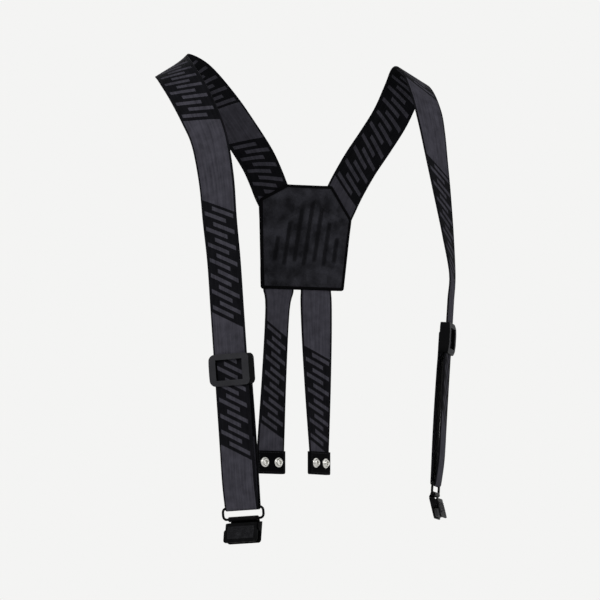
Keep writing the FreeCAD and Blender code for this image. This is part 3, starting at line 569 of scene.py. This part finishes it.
def woven_webbing(tree, shader, wide, groups):
    """Polyester webbing, woven on a needle loom: fine ribs, a matt face, darker selvedges, and a
    jacquard motif of dark yarn that leaves leaning lines, shifted left and right in turn."""
    colours = bpy.context.scene.suspender_colours
    sizes = bpy.context.scene.suspender_sizes
    half, pitch = wide / 2, sizes.motif_pitch
    route = add(tree, "UVMap", uv_map="route")
    across, along = add(tree, "SeparateXYZ", [route]).outputs[:2]

    # lines and the ends of each group lean alike, and a group starts and ends dark
    leaning = add(tree, "Math", [across, MOTIF_LEAN, along], operation="MULTIPLY_ADD")
    inside = 0.0
    for first, last in groups:
        start, end = first * pitch - MOTIF_MARGIN * MM, last * pitch
        stretch = add(tree, "Math", [leaning, (start + end) / 2, (end - start) / 2],
                      operation="COMPARE")
        inside = add(tree, "Math", [inside, stretch], operation="MAXIMUM")
    turn = add(tree, "Math", [leaning, pitch], operation="FLOORED_MODULO")
    line = add(tree, "Math", [turn, pitch * MOTIF_LINE], operation="LESS_THAN")
    # lines are shifted to the left and to the right in turn, clear of the dark rails
    pair = add(tree, "Math", [leaning, pitch * 2], operation="FLOORED_MODULO")
    second = add(tree, "Math", [pair, pitch], operation="GREATER_THAN")
    aside = MOTIF_SHIFT * half
    middle = add(tree, "Math", [second, 2 * aside, -aside], operation="MULTIPLY_ADD")
    beside = add(tree, "Math", [across, middle, half * MOTIF_REACH], operation="COMPARE")
    line = add(tree, "Math", [line, beside], operation="MULTIPLY")
    filled = add(tree, "Math", [1.0, line], operation="SUBTRACT")
    woven = add(tree, "Math", [filled, inside], operation="MULTIPLY")
    side = add(tree, "Math", [across], operation="ABSOLUTE")
    selvedge = add(tree, "Math", [side, half - SELVEDGE * MM], operation="GREATER_THAN")
    dark = add(tree, "Math", [woven, selvedge], operation="MAXIMUM")

    # weft ribs cross the warp ends; the real ribs are half this size, drawn coarser to show
    rib, warp = (
        add(tree, "Math", [add(tree, "Math", [way, turns * math.pi / sizes.rib_pitch],
                               operation="MULTIPLY")], operation="SINE")
        for way, turns in ((along, 2), (across, 1)))
    weave = add(tree, "Math", [rib, warp], operation="MULTIPLY")
    weave = add(tree, "Math", [weave, 0.5, 0.5], operation="MULTIPLY_ADD")
    # yarn lots differ a little from end to end, in streaks about 2 mm wide and 50 mm long
    stretched = add(tree, "VectorMath", [route, (480.0, 20.0, 1.0)], operation="MULTIPLY")
    streak = add(tree, "TexNoise", {"Vector": stretched, "Scale": 1.0, "Detail": 3.0})
    # rubbed and dusty places are about 10 mm across
    wear = add(tree, "TexNoise", {"Vector": route, "Scale": 90.0, "Detail": 4.0})
    uneven = add(tree, "Math", [streak, wear], operation="ADD")
    uneven = add(tree, "Math", [uneven, 1.1, -0.1], operation="MULTIPLY_ADD")
    shade = add(tree, "Math", [weave, 0.26, 0.87], operation="MULTIPLY_ADD")
    shade = add(tree, "Math", [shade, uneven], operation="MULTIPLY")
    # the underside of the webbing is painted 0.6 times as dark, as painted shade on its inner
    # faces
    above = add(tree, "Attribute", attribute_name="above").outputs["Fac"]
    underside_shade = add(tree, "Math", [above, 0.0], operation="LESS_THAN")
    underside_shade = add(tree, "Math", [underside_shade, -0.40, 1.0], operation="MULTIPLY_ADD")
    shade = add(tree, "Math", [shade, underside_shade], operation="MULTIPLY")
    yarn = add(tree, "Mix", {0: dark, 6: colours.web_ground, 7: colours.web_motif},
               data_type="RGBA")
    tinted = add(tree, "Mix", {0: 1.0, 6: yarn.outputs[2], 7: shade},
                 data_type="RGBA", blend_type="MULTIPLY")
    height = add(tree, "Math", [dark, 0.9, weave], operation="MULTIPLY_ADD")
    surface(tree, shader, tinted, (height, 0.2, 0.2), (dark, -0.08, 0.98), 0.03)


def coated_leather(tree, shader, tint, edge):
    """Polyurethane-coated split leather, embossed with a pebble grain: a soft broad shine, dull
    in the creases, with painted and burnished edges."""
    place = add(tree, "TexCoord").outputs["Object"]
    # pebbles about 1.1 mm across with creases between them, in clouds of wear 14 mm across
    pebble = add(tree, "TexVoronoi", {"Vector": place, "Scale": 900.0},
                 feature="SMOOTH_F1").outputs["Distance"]
    cloud = add(tree, "TexNoise", {"Vector": place, "Scale": 70.0, "Detail": 4.0})
    patchy = add(tree, "MapRange", {0: cloud, 1: 0.35, 2: 0.65})
    skin = add(tree, "Mix", {0: patchy, 6: tint, 7: times(tint, 3.4)}, data_type="RGBA")
    # the patch stores its flute depths; the flutes are painted darker, partly as burnish and
    # partly as painted shade in the grooves
    pressed = add(tree, "Attribute", attribute_name="pressed").outputs["Fac"]
    pressed = add(tree, "Math", [pressed, 0.8], operation="MULTIPLY")
    skin = add(tree, "Mix", {0: pressed, 6: skin.outputs[2], 7: times(tint, 0.4)},
               data_type="RGBA")
    crease = add(tree, "Math", [pebble, 0.45, 0.80], operation="MULTIPLY_ADD")
    grained = add(tree, "Mix", {0: 1.0, 6: skin.outputs[2], 7: crease},
                  data_type="RGBA", blend_type="MULTIPLY")
    # the patch stores how far each point lies from its border, in millimetres; tab ends store
    # nothing and are painted all over
    border = add(tree, "Attribute", attribute_name="inland").outputs["Fac"]
    painted = add(tree, "Math", [border, PATCH_PAINT], operation="LESS_THAN")
    coat = add(tree, "Mix", {0: painted, 6: grained.outputs[2], 7: edge}, data_type="RGBA")
    height = add(tree, "Math", [cloud, 0.3, pebble], operation="MULTIPLY_ADD")
    surface(tree, shader, coat, (height, 0.5, 0.3), (pebble, 0.25, 0.55), 0.02)


def moulded_acetal(tree, shader, tint):
    """Injection-moulded acetal, a satin with a spark-eroded texture and flow marks. Faces that
    look out along the piece's axis are painted lighter as a painted highlight; the walls and
    rounded edges are painted near black as painted shade."""
    place = add(tree, "TexCoord").outputs["Object"]
    # spark texture about 0.5 mm across, and marks 22 mm long where the melt flowed
    grit = add(tree, "TexNoise", {"Vector": place, "Scale": 1900.0, "Detail": 2.0})
    flow = add(tree, "TexNoise", {"Vector": place, "Scale": 45.0, "Detail": 3.0,
                                  "Distortion": 0.6})
    facing = add(tree, "SeparateXYZ", [add(tree, "UVMap", uv_map="facing")])
    # faces square to the axis are painted up to 11 times as light (painted highlight), the walls
    # near black (painted shade)
    outward_highlight = add(tree, "MapRange", {0: facing, 1: 0.80, 2: 0.97})
    flow_marks_and_highlight = add(tree, "Math", [flow, 0.6, 0.6], operation="MULTIPLY_ADD")
    flow_marks_and_highlight = add(tree, "Math", [flow_marks_and_highlight, outward_highlight], operation="MULTIPLY")
    skin = add(tree, "Mix", {0: flow_marks_and_highlight, 6: tint, 7: times(tint, 11.0)}, data_type="RGBA")
    surface(tree, shader, skin, (grit, 0.4, 0.06), (flow, 0.16, 0.50), 0.02, IOR=1.48)


def powder_coat(tree, shader, tint, rub):
    """Steel stamped, tumbled and powder coated black: a satin skin with slight orange peel, and
    places that handling has rubbed paler."""
    place = add(tree, "TexCoord").outputs["Object"]
    # orange peel cells about 0.8 mm across, rubbed in spots of 6 mm
    peel = add(tree, "TexNoise", {"Vector": place, "Scale": 1200.0, "Detail": 2.0})
    rubbed = add(tree, "TexNoise", {"Vector": place, "Scale": 160.0, "Detail": 5.0,
                                    "Roughness": 0.7})
    spots = add(tree, "MapRange", {0: rubbed, 1: 0.5, 2: 0.72})
    coat = add(tree, "Mix", {0: spots, 6: tint, 7: times(tint, rub)}, data_type="RGBA")
    surface(tree, shader, coat, (peel, 0.4, 0.08), (spots, -0.12, 0.52), 0.03)


def plated(tree, shader, tint, low, spread, streaks):
    """Bright plate or drawn steel over a metal core: a clear shine with a faint haze that
    follows how the blank was worked."""
    place = add(tree, "TexCoord").outputs["Object"]
    drawn = add(tree, "VectorMath", [place, streaks], operation="MULTIPLY")
    haze = add(tree, "TexNoise", {"Vector": drawn, "Scale": 1.0, "Detail": 4.0})
    skin = add(tree, "Mix", {0: haze, 6: tint, 7: times(tint, 0.8)}, data_type="RGBA")
    surface(tree, shader, skin, (haze, 0.15, 0.03), (haze, spread, low), Metallic=1.0)


def moulded_rubber(tree, shader, tint):
    """Nitrile rubber, pressed: dull and dusty, with a fine talc bloom."""
    place = add(tree, "TexCoord").outputs["Object"]
    # bloom in patches of 2.5 mm
    bloom = add(tree, "TexNoise", {"Vector": place, "Scale": 400.0, "Detail": 5.0})
    skin = add(tree, "Mix", {0: bloom, 6: tint, 7: times(tint, 2.2)}, data_type="RGBA")
    surface(tree, shader, skin, (bloom, 0.4, 0.1), 0.85)


def bonded_thread(tree, shader, tint):
    """Bonded nylon thread, three plies twisted: slanted plies with a waxy glint."""
    place = add(tree, "TexCoord").outputs["Object"]
    # plies about 0.7 mm apart
    ply = add(tree, "TexWave", {"Vector": place, "Scale": 900.0, "Distortion": 1.0},
              bands_direction="DIAGONAL").outputs[1]
    skin = add(tree, "Mix", {0: ply, 6: tint, 7: times(tint, 1.8)}, data_type="RGBA")
    surface(tree, shader, skin, (ply, 0.4, 0.1), 0.6, 0.06)


def seen_as_backdrop(tree):
    """1 where a surface is seen directly, in a reflection or through glass, else 0."""
    path = add(tree, "LightPath")
    seen = add(tree, "Math", [path.outputs["Is Camera Ray"], path.outputs["Is Glossy Ray"]],
               operation="MAXIMUM")
    return add(tree, "Math", [seen, path.outputs["Is Transmission Ray"]], operation="MAXIMUM")


def painted_floor(tree, shader, tint):
    """Matt wall paint, brushed: even and without shine, so that it runs into the backdrop."""
    feed(tree, shader, {"Base Color": tint, "Roughness": 0.9})
    plain = add(tree, "Emission", {"Color": srgb(BACKDROP), "Strength": 1.0})
    share = add(tree, "Math", [seen_as_backdrop(tree), 0.7], operation="MULTIPLY")
    pale = add(tree, "MixShader", [share, shader, plain])
    feed(tree, main_node(tree, "OUTPUT_MATERIAL"), {"Surface": pale})


def finish_named(name):
    """The material of that finish, made the first time it is asked for."""
    if name in bpy.data.materials:
        return bpy.data.materials[name]
    colours = bpy.context.scene.suspender_colours
    makers = {
        "coated_leather": (coated_leather, colours.leather, colours.edge_paint),
        "moulded_acetal": (moulded_acetal, colours.plastic),
        "powder_coated_steel": (powder_coat, colours.coat, 2.5),
        "rubbed_powder_coat": (powder_coat, colours.thumb_face, 2.2),
        "pressed_nitrile_rubber": (moulded_rubber, srgb(0x242426)),
        "drawn_spring_steel": (plated, srgb(0xA3A3A6), 0.24, 0.2, (300.0, 1500.0, 1500.0)),
        "nickel_plate": (plated, colours.nickel, 0.26, 0.12, (800.0, 800.0, 800.0)),
        "bonded_nylon_thread": (bonded_thread, colours.thread),
        "painted_studio_floor": (painted_floor, colours.floor),
    }
    for key, groups in MOTIF_GROUPS.items():
        makers[f"woven_webbing_{key}"] = (woven_webbing, web_width(key), groups)
    material = bpy.data.materials.new(name)
    material.use_nodes = True
    tree = material.node_tree
    maker, *details = makers[name]
    maker(tree, main_node(tree, "BSDF_PRINCIPLED"), *details)
    return material


# --- straps


def webbing(kind, node, side, frames, bodies, places, *others):
    """A length of webbing that stands for its nodes. The bodies and places are not used."""
    thick = bpy.context.scene.suspender_sizes.web_thick
    bm = bmesh.new()
    sweep(bm, webbing_section(web_width(kind) / MM, thick / MM), frames)
    piece = finished(f"{node}_{side}_web", bm, f"woven_webbing_{kind}_{side}", 50.0)
    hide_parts(*(f"{name}_{side}" for name in (node, *others)))
    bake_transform(piece)


def build_strap(side):
    """One strap: over the shoulder, down through the adjuster, round the bail and back."""
    adjuster, bail = ADJUSTER_AT[side], BAIL_AT[side]
    webbing("strap", "shoulder_strap", side, strap_frames(side), ("harness", f"adjuster_{side}"),
            (run_point(side, SLIDE_FROM), run_point(side, adjuster + SLIDE_ABOVE)))
    webbing("loop", "strap_loop", side, loop_frames(side), (f"adjuster_{side}", f"bail_{side}"),
            (run_point(side, adjuster - SLIDE_BELOW), run_point(side, bail + SLIDE_BAIL)))
    # the turned end is sewn to the returning layer with a double row
    across = web_width("loop") / MM / 2 - 3
    rows = [[(-across, 0, height), (across, 0, height)] for height in WRAP_ROWS]
    for name, turn, depth in WRAP_FACES:
        face = run_frame(side, adjuster) @ shift(0, depth, 0) @ turn
        belongs(sewn(f"wrap_seam_{name}_{side}", rows, face), f"adjuster_{side}", "webbing")


def build_tab(side):
    """One rear tab, with its stub between the patch layers."""
    top = Vector((TAB_ACROSS[side][0], TAB_DEPTH[0], TAB_HEIGHTS[0])) * MM
    webbing("tab", "rear_tab", side, tab_frames(side), ("harness", f"tab_{side}"),
            (top + Vector((0, 0, MM)), top - Vector((0, 0, TAB_BEND * MM))), "tab_stub")


# --- patch


def outward_directions():
    """Direction out of the patch across each side of its outline, side by side."""
    corners = [Vector(corner) for corner in PATCH_OUTLINE]
    runs = [(after - corner).normalized() for corner, after in zip(corners, corners[1:] + corners)]
    return [Vector((run.y, -run.x)) for run in runs]


def inset_corners(distance):
    """Corners of the patch's outline moved in from both of their sides."""
    moved = []
    outward = outward_directions()
    for index, corner in enumerate(PATCH_OUTLINE):
        middle = (outward[index - 1] + outward[index]).normalized()
        moved.append(Vector(corner) - middle * (distance / middle.dot(outward[index])))
    return moved


def patch_borders():
    """Borders of the patch as (point, outward direction) in millimetres, corners rounded."""
    outward = outward_directions()
    borders = [(Vector(corner), out) for corner, out in zip(PATCH_OUTLINE, outward)]
    for index, centre in enumerate(inset_corners(PATCH_ROUND)):
        for share in (0.2, 0.4, 0.6, 0.8):
            out = outward[index - 1].lerp(outward[index], share).normalized()
            borders.append((centre + out * PATCH_ROUND, out))
    return borders


PATCH_BORDERS = patch_borders()


def inland(x, z):
    """Distance from a point of the patch to its nearest border."""
    return min((point - Vector((x, z))).dot(out) for point, out in PATCH_BORDERS)


def smooth_step(value):
    """Eases a value from 0 to 1, and keeps it there."""
    value = min(1.0, max(0.0, value))
    return value * value * (3 - 2 * value)


def webbing_ends():
    """Webbing ends inside the patch: (end, direction out of it, half width, sewn length)."""
    ends = []
    for side in SIDES:
        first, third = STATIONS[side][0], STATIONS[side][2]
        out = Vector((third[0] - first[0], third[2] - first[2])).normalized()
        end = Vector((first[0] - PATCH_CENTRE[0], first[2]))
        ends.append((end, out, WEB_WIDE / 2, SEWN_LENGTH[side]))
        end = Vector((TAB_ACROSS[side][0] - PATCH_CENTRE[0], TAB_TOP))
        ends.append((end, Vector((0, -1)), TAB_WIDE / 2, SEWN_LENGTH["tab"]))
    return ends


WEBBING_ENDS = webbing_ends()


def webbing_under(x, z):
    """1 where webbing lies between the patch layers, 0 away from it, eased over a few mm."""
    best = 0.0
    for start, direction, half, _ in WEBBING_ENDS:
        offset = Vector((x, z)) - start
        beyond = max(abs(offset.x * direction.y - offset.y * direction.x) - half,
                     -offset.dot(direction))
        best = max(best, 1 - smooth_step(beyond / 6.0))
    return best


def fluting(x, z):
    """Depth of the pressed flutes: slanted channels of stepped lengths, soft at the sides."""
    pressed = 0.0
    for centre, low, high in FLUTES:
        place = centre + (z - FLUTE_LEVEL) * FLUTE_LEAN
        wide = 1 - smooth_step((abs(x - place) - FLUTE_HALF) / 1.5)
        tall = smooth_step((z - low) / 3.0) * smooth_step((high - z) / 3.0)
        pressed = max(pressed, wide * tall)
    return pressed


def patch_face(x, z):
    """Height of a patch layer's skin above the webbing's middle, in millimetres."""
    reach = inland(x, z)
    height = SKIN + SKIN_WEB * webbing_under(x, z)
    height += SKIN_BORDER * (1 - smooth_step((reach - 2.0) / 1.2))
    seam = max(0.0, 1 - abs(reach - PATCH_SEAM) / 1.3)
    round_over = 1 - math.sqrt(max(0.0, 1 - max(0.0, 1 - reach) ** 2))
    return height - SKIN_SEAM * seam - SKIN_EDGE * round_over - SKIN_FLUTE * fluting(x, z)


def build_patch_layer(name, sign):
    """One leather layer: pinched at its border, pressed over the webbing, fluted in the middle."""
    bm = bmesh.new()
    turn = Matrix.Rotation(-math.pi / 2 * sign, 4, "X")
    # the grid covers the patch in meshes of 1.3 mm, then each border cuts it off
    bmesh.ops.create_grid(bm, x_segments=92, y_segments=92, size=60.0 * MM,
                          matrix=shift(0, 0, -170.5) @ turn)
    for point, out in PATCH_BORDERS:
        geometry = bm.verts[:] + bm.edges[:] + bm.faces[:]
        bmesh.ops.bisect_plane(bm, geom=geometry, dist=1e-7, clear_outer=True,
                               plane_co=(point.x * MM, 0, point.y * MM),
                               plane_no=(out.x, 0, out.y))
    for thickness in (0.25, 0.45):
        bmesh.ops.inset_region(bm, faces=bm.faces[:], thickness=thickness * MM,
                               use_even_offset=True)
    border, pressed = (bm.verts.layers.float.new(key) for key in ("inland", "pressed"))
    for vert in bm.verts:
        x, z = vert.co.x / MM, vert.co.z / MM
        vert[border], vert[pressed] = inland(x, z), fluting(x, z)
        vert.co.y = sign * patch_face(x, z) * MM
    bmesh.ops.transform(bm, matrix=shift(*PATCH_CENTRE, 0), verts=bm.verts)
    piece = finished(f"patch_layer_{name}", bm, "coated_leather", 60.0)
    wall = piece.modifiers.new("leather", "SOLIDIFY")
    wall.thickness = LEATHER_THICK * MM
    wall.offset = -1.0
    return piece


def build_patch_seams(name, sign):
    """Seam along the patch's border and a box over each webbing end."""
    border = [(x, 0, z) for x, z in inset_corners(PATCH_SEAM)]
    boxes = []
    for end, out, half, sewn_long in WEBBING_ENDS:
        side_way = Vector((out.y, -out.x)) * (half - 5)
        corners = [end + out * reach + side_way * way
                   for reach, way in ((2, -1), (2, 1), (sewn_long, 1), (sewn_long, -1), (2, -1))]
        boxes.append([(corner.x, 0, corner.y) for corner in corners])

    def on_skin(x, z):
        return sign * (patch_face(x, z) + 0.05), sign

    lines = [[*border, border[0]], *boxes]
    return sewn(f"patch_seams_{name}", lines, shift(*PATCH_CENTRE, 0), on_skin)


# --- hardware


def build_adjuster(side):
    """Moulded slider with its three bars."""
    outward = run_frame(side, ADJUSTER_AT[side]).col[1].to_3d()
    piece = dressed(f"adjuster_frame_{side}", "moulded_acetal", 0.9, axis=outward)
    belongs(piece, f"adjuster_{side}", "black_plastic", f"adjuster_frame_{side}")


def build_bail(side):
    """Bail of round wire, bent to a rounded rectangle."""
    base = run_frame(side, BAIL_AT[side])
    half, low, bend = BAIL_HALF - BAIL_BEND, BAIL_BEND - BAIL_TALL, BAIL_BEND
    points = []
    for x, z, first in ((half, -bend, 90), (half, low, 0), (-half, low, -90),
                        (-half, -bend, -180)):
        for step in range(9):
            angle = math.radians(first - 90 * step / 8)
            point = (x + bend * math.cos(angle), BAIL_BEHIND, z + bend * math.sin(angle))
            points.append(base @ (Vector(point) * MM))
    normal = base.col[1].to_3d()
    count = len(points)
    frames = [placed(points[i], normal, points[(i + 1) % count] - points[i - 1])
              for i in range(count)]
    bm = bmesh.new()
    sweep(bm, circle_section(BAIL_WIRE, 20), frames + frames[:1], closed=True)
    piece = finished(f"clip_bail_{side}_wire", bm, "powder_coated_steel", 60.0)
    belongs(piece, f"bail_{side}", "black_metal", f"clip_bail_{side}")


def build_clip_plates(side):
    """Stamped and coated back plate, pin and lever of a clip."""
    for node, body, width in (("clip_back_plate", "clip", 0.45), ("clip_pin", "clip", 0.3),
                              ("clip_lever", "lever", 0.45)):
        piece = dressed(f"{node}_{side}", "powder_coated_steel", width)
        belongs(piece, f"{body}_{side}", "black_metal", f"{node}_{side}")


def build_thumb_face(side):
    """Thumb face of a clip: a raised panel with rows of small pyramids."""
    bm = bmesh.new()
    box(bm, THUMB_SIZE, THUMB_AT)
    bmesh.ops.bevel(bm, geom=bm.edges[:], offset=0.25 * MM, segments=2, affect="EDGES",
                    profile=0.5, material=-1)
    turn = Matrix.Rotation(-math.pi / 2, 4, "X") @ Matrix.Rotation(math.pi / 4, 4, "Z")
    across, out, up = KNURL_FIRST
    for column in range(KNURL_COUNT[0]):
        for row in range(KNURL_COUNT[1]):
            place = shift(across + KNURL_PITCH * column, out, up + KNURL_PITCH * row)
            bmesh.ops.create_cone(bm, cap_ends=True, segments=4, radius1=1.25 * MM,
                                  radius2=0.45 * MM, depth=0.55 * MM, matrix=place @ turn)
    bmesh.ops.transform(bm, matrix=clip_frame(side), verts=bm.verts)
    piece = finished(f"clip_thumb_face_{side}", bm, "rubbed_powder_coat", 20.0)
    belongs(piece, f"lever_{side}", "black_metal")


def build_pads(side):
    """Two rubber pads of a clip, ribbed where they grip."""
    for name, body, inner, outer, sign in (
            ("back", "clip", -1.35, -2.98, 1), ("front", "lever", -0.75, 2.38, -1)):
        bm = bmesh.new()
        box(bm, (PAD_WIDE, abs(outer - inner), PAD_TALL), (0, (inner + outer) / 2, PAD_AT))
        upright = [edge for edge in bm.edges
                   if abs((edge.verts[0].co - edge.verts[1].co).z) > 5 * MM]
        bmesh.ops.subdivide_edges(bm, edges=upright, cuts=11, use_grid_fill=True)
        heights = sorted({round(vert.co.z / MM, 3) for vert in bm.verts})
        for vert in bm.verts:
            at_grip = abs(vert.co.y / MM - inner) < 0.01
            if at_grip and heights.index(round(vert.co.z / MM, 3)) % 2:
                vert.co.y += sign * PAD_RIB * MM
        bmesh.ops.transform(bm, matrix=clip_frame(side), verts=bm.verts)
        pad = finished(f"clip_pad_{name}_{side}_ribbed", bm, "pressed_nitrile_rubber", 20.0)
        belongs(soften(pad, 0.12, 2, 30.0), f"{body}_{side}", "grip_rubber",
                f"clip_pad_{name}_{side}")


def build_spring(side):
    """Torsion spring of a clip: six turns round the pin, one leg to each plate."""
    base = clip_frame(side)
    points = [Vector((-4.9, -2.55, -13.5)), Vector((-4.9, -2.2, -10.8))]
    steps = COIL_TURNS * COIL_STEPS
    for index in range(int(steps) + 1):
        angle = math.radians(180 + 360 * index / COIL_STEPS)
        points.append(Vector((-COIL_WIDE / 2 + COIL_WIDE * index / steps,
                              PIN_DEPTH + COIL_RADIUS * math.cos(angle),
                              PIN_HEIGHT - COIL_RADIUS * math.sin(angle))))
    points += [Vector((4.9, 1.2, -11.2)), Vector((4.9, 1.75, -13.2))]
    points = [base @ (point * MM) for point in points]
    bm = bmesh.new()
    sweep(bm, circle_section(COIL_WIRE, 14),
          frames_along(points, [base.col[0].to_3d()] * len(points)))
    piece = finished(f"clip_spring_{side}_coil", bm, "drawn_spring_steel", 60.0)
    belongs(piece, f"clip_{side}", "spring_steel", f"clip_spring_{side}")


def build_tab_end(side):
    """End of a tab: two leather faces sewn over the webbing, with two snaps set through."""
    base = tab_end_frame(side)
    for layer in ("outer", "inner"):
        piece = dressed(f"tab_end_{layer}_{side}", "coated_leather", 0.45)
        belongs(piece, f"tab_{side}", "coated_patch", f"tab_end_{layer}_{side}")
    border = [(TAB_SEAM_HALF * x, 0, TAB_SEAM_TALL * z)
              for x, z in ((-1, -1), (1, -1), (1, 1), (-1, 1), (-1, -1))]
    for name, turn in (("outer", Matrix.Identity(4)), ("inner", HALF_TURN)):
        face = base @ turn @ shift(0, TAB_SEAM_OUT, 0)
        belongs(sewn(f"tab_end_seam_{name}_{side}", [border], face), f"tab_{side}", "coated_patch")
    for place, across in (("a", -SNAP_HALF), ("b", SNAP_HALF)):
        centre = base @ shift(across, 0, 0)
        for kind, profile in (("cap", SNAP_CAP), ("socket", SNAP_SOCKET)):
            bm = bmesh.new()
            turned(bm, profile, centre)
            piece = finished(f"snap_{kind}_{place}_{side}_turned", bm, "nickel_plate", 50.0)
            belongs(piece, f"tab_{side}", "nickel", f"snap_{kind}_{place}_{side}")


# --- stage


def staged(name, data, place=(0, 0, 0), aim=None):
    """Puts the floor, a lamp or the camera on the stage, looking along `aim`."""
    obj = bpy.data.objects.new(name, data)
    obj.location = place
    if aim:
        obj.rotation_euler = aim.to_track_quat("-Z", "Y").to_euler()
    bpy.context.scene.collection.objects.link(obj)
    obj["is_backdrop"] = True
    return obj


def build_floor():
    """Pale floor that keeps the object's shadow."""
    bm = bmesh.new()
    bmesh.ops.create_grid(bm, x_segments=1, y_segments=1, size=30.0,
                          matrix=Matrix.Translation((0, 0, FLOOR_HEIGHT)))
    mesh = bpy.data.meshes.new("floor")
    bm.to_mesh(mesh)
    bm.free()
    mesh.materials.append(finish_named("painted_studio_floor"))
    staged("floor", mesh)


def build_world():
    """Pale surroundings, half as strong on the object as where they are seen."""
    world = bpy.data.worlds.new("studio")
    bpy.context.scene.world = world
    world.use_nodes = True
    tree = world.node_tree
    strength = add(tree, "Math", [seen_as_backdrop(tree), 0.45, 0.55], operation="MULTIPLY_ADD")
    feed(tree, main_node(tree, "BACKGROUND"), {"Color": srgb(BACKDROP), "Strength": strength})


# --- operators


class SUSPENDERS_OT_straps(bpy.types.Operator):
    """Weaves the two shoulder straps and the loops that carry the clips"""

    bl_idname = "suspenders.straps"
    bl_label = "Shoulder straps"

    def execute(self, context):
        for side in SIDES:
            build_strap(side)
        return {"FINISHED"}


class SUSPENDERS_OT_tabs(bpy.types.Operator):
    """Weaves the two rear tabs and sets their snaps"""

    bl_idname = "suspenders.tabs"
    bl_label = "Rear tabs and snaps"

    def execute(self, context):
        for side in SIDES:
            build_tab(side)
            build_tab_end(side)
        return {"FINISHED"}


class SUSPENDERS_OT_patch(bpy.types.Operator):
    """Presses and sews the back patch"""

    bl_idname = "suspenders.patch"
    bl_label = "Back patch"

    def execute(self, context):
        for name, sign in (("outer", 1), ("inner", -1)):
            piece = build_patch_layer(name, sign)
            belongs(piece, "harness", "coated_patch", f"back_patch_{name}")
            belongs(build_patch_seams(name, sign), "harness", "coated_patch")
        return {"FINISHED"}


class SUSPENDERS_OT_adjusters(bpy.types.Operator):
    """Moulds the two sliding adjusters"""

    bl_idname = "suspenders.adjusters"
    bl_label = "Adjusters"

    def execute(self, context):
        for side in SIDES:
            build_adjuster(side)
        return {"FINISHED"}


class SUSPENDERS_OT_clips(bpy.types.Operator):
    """Bends the two bails and builds the sprung clips"""

    bl_idname = "suspenders.clips"
    bl_label = "Bails and clips"

    def execute(self, context):
        for side in SIDES:
            build_bail(side)
            build_clip_plates(side)
            build_thumb_face(side)
            build_pads(side)
            build_spring(side)
        return {"FINISHED"}


class SUSPENDERS_OT_stage(bpy.types.Operator):
    """Sets the pale floor, the studio light and the camera"""

    bl_idname = "suspenders.stage"
    bl_label = "Stage"

    def execute(self, context):
        build_floor()
        build_world()
        lo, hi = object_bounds()
        middle = (lo + hi) / 2
        for name, place, watts, size in LAMPS:
            lamp = bpy.data.lights.new(name, "AREA")
            lamp.energy, lamp.size = watts, size
            staged(name, lamp, middle + Vector(place), -Vector(place))
        camera = bpy.data.cameras.new("camera")
        camera.lens, camera.clip_end = CAMERA_LENS, 100.0
        azimuth, elevation = math.radians(CAMERA_AZIMUTH), math.radians(CAMERA_ELEVATION)
        back = Vector((math.sin(azimuth) * math.cos(elevation),
                       -math.cos(azimuth) * math.cos(elevation), math.sin(elevation)))
        context.scene.camera = staged("camera", camera, middle + back * CAMERA_DISTANCE, -back)
        context.scene.view_settings.view_transform = "Standard"
        return {"FINISHED"}


OPERATORS = (
    SUSPENDERS_OT_straps,
    SUSPENDERS_OT_tabs,
    SUSPENDERS_OT_patch,
    SUSPENDERS_OT_adjusters,
    SUSPENDERS_OT_clips,
    SUSPENDERS_OT_stage,
)


class SUSPENDERS_PT_sidebar(bpy.types.Panel):
    """Sizes, colours and builders of the suspenders"""

    bl_idname = "SUSPENDERS_PT_sidebar"
    bl_label = "Suspenders"
    bl_space_type = "VIEW_3D"
    bl_region_type = "UI"
    bl_category = "Suspenders"

    def draw(self, context):
        for group in (context.scene.suspender_sizes, context.scene.suspender_colours):
            for key in group.bl_rna.properties.keys():
                if key not in {"rna_type", "name"}:
                    self.layout.prop(group, key)
        for operator in OPERATORS:
            self.layout.operator(operator.bl_idname)


CLASSES = (SuspenderSizes, SuspenderColours, *OPERATORS, SUSPENDERS_PT_sidebar)


def register():
    for item in CLASSES:
        bpy.utils.register_class(item)
    bpy.types.Scene.suspender_sizes = PointerProperty(type=SuspenderSizes)
    bpy.types.Scene.suspender_colours = PointerProperty(type=SuspenderColours)


def unregister():
    del bpy.types.Scene.suspender_colours
    del bpy.types.Scene.suspender_sizes
    for item in reversed(CLASSES):
        bpy.utils.unregister_class(item)


def main():
    register()
    for operator in OPERATORS:
        getattr(bpy.ops.suspenders, operator.bl_idname.split(".")[1])()


if __name__ == "__main__":
    main()
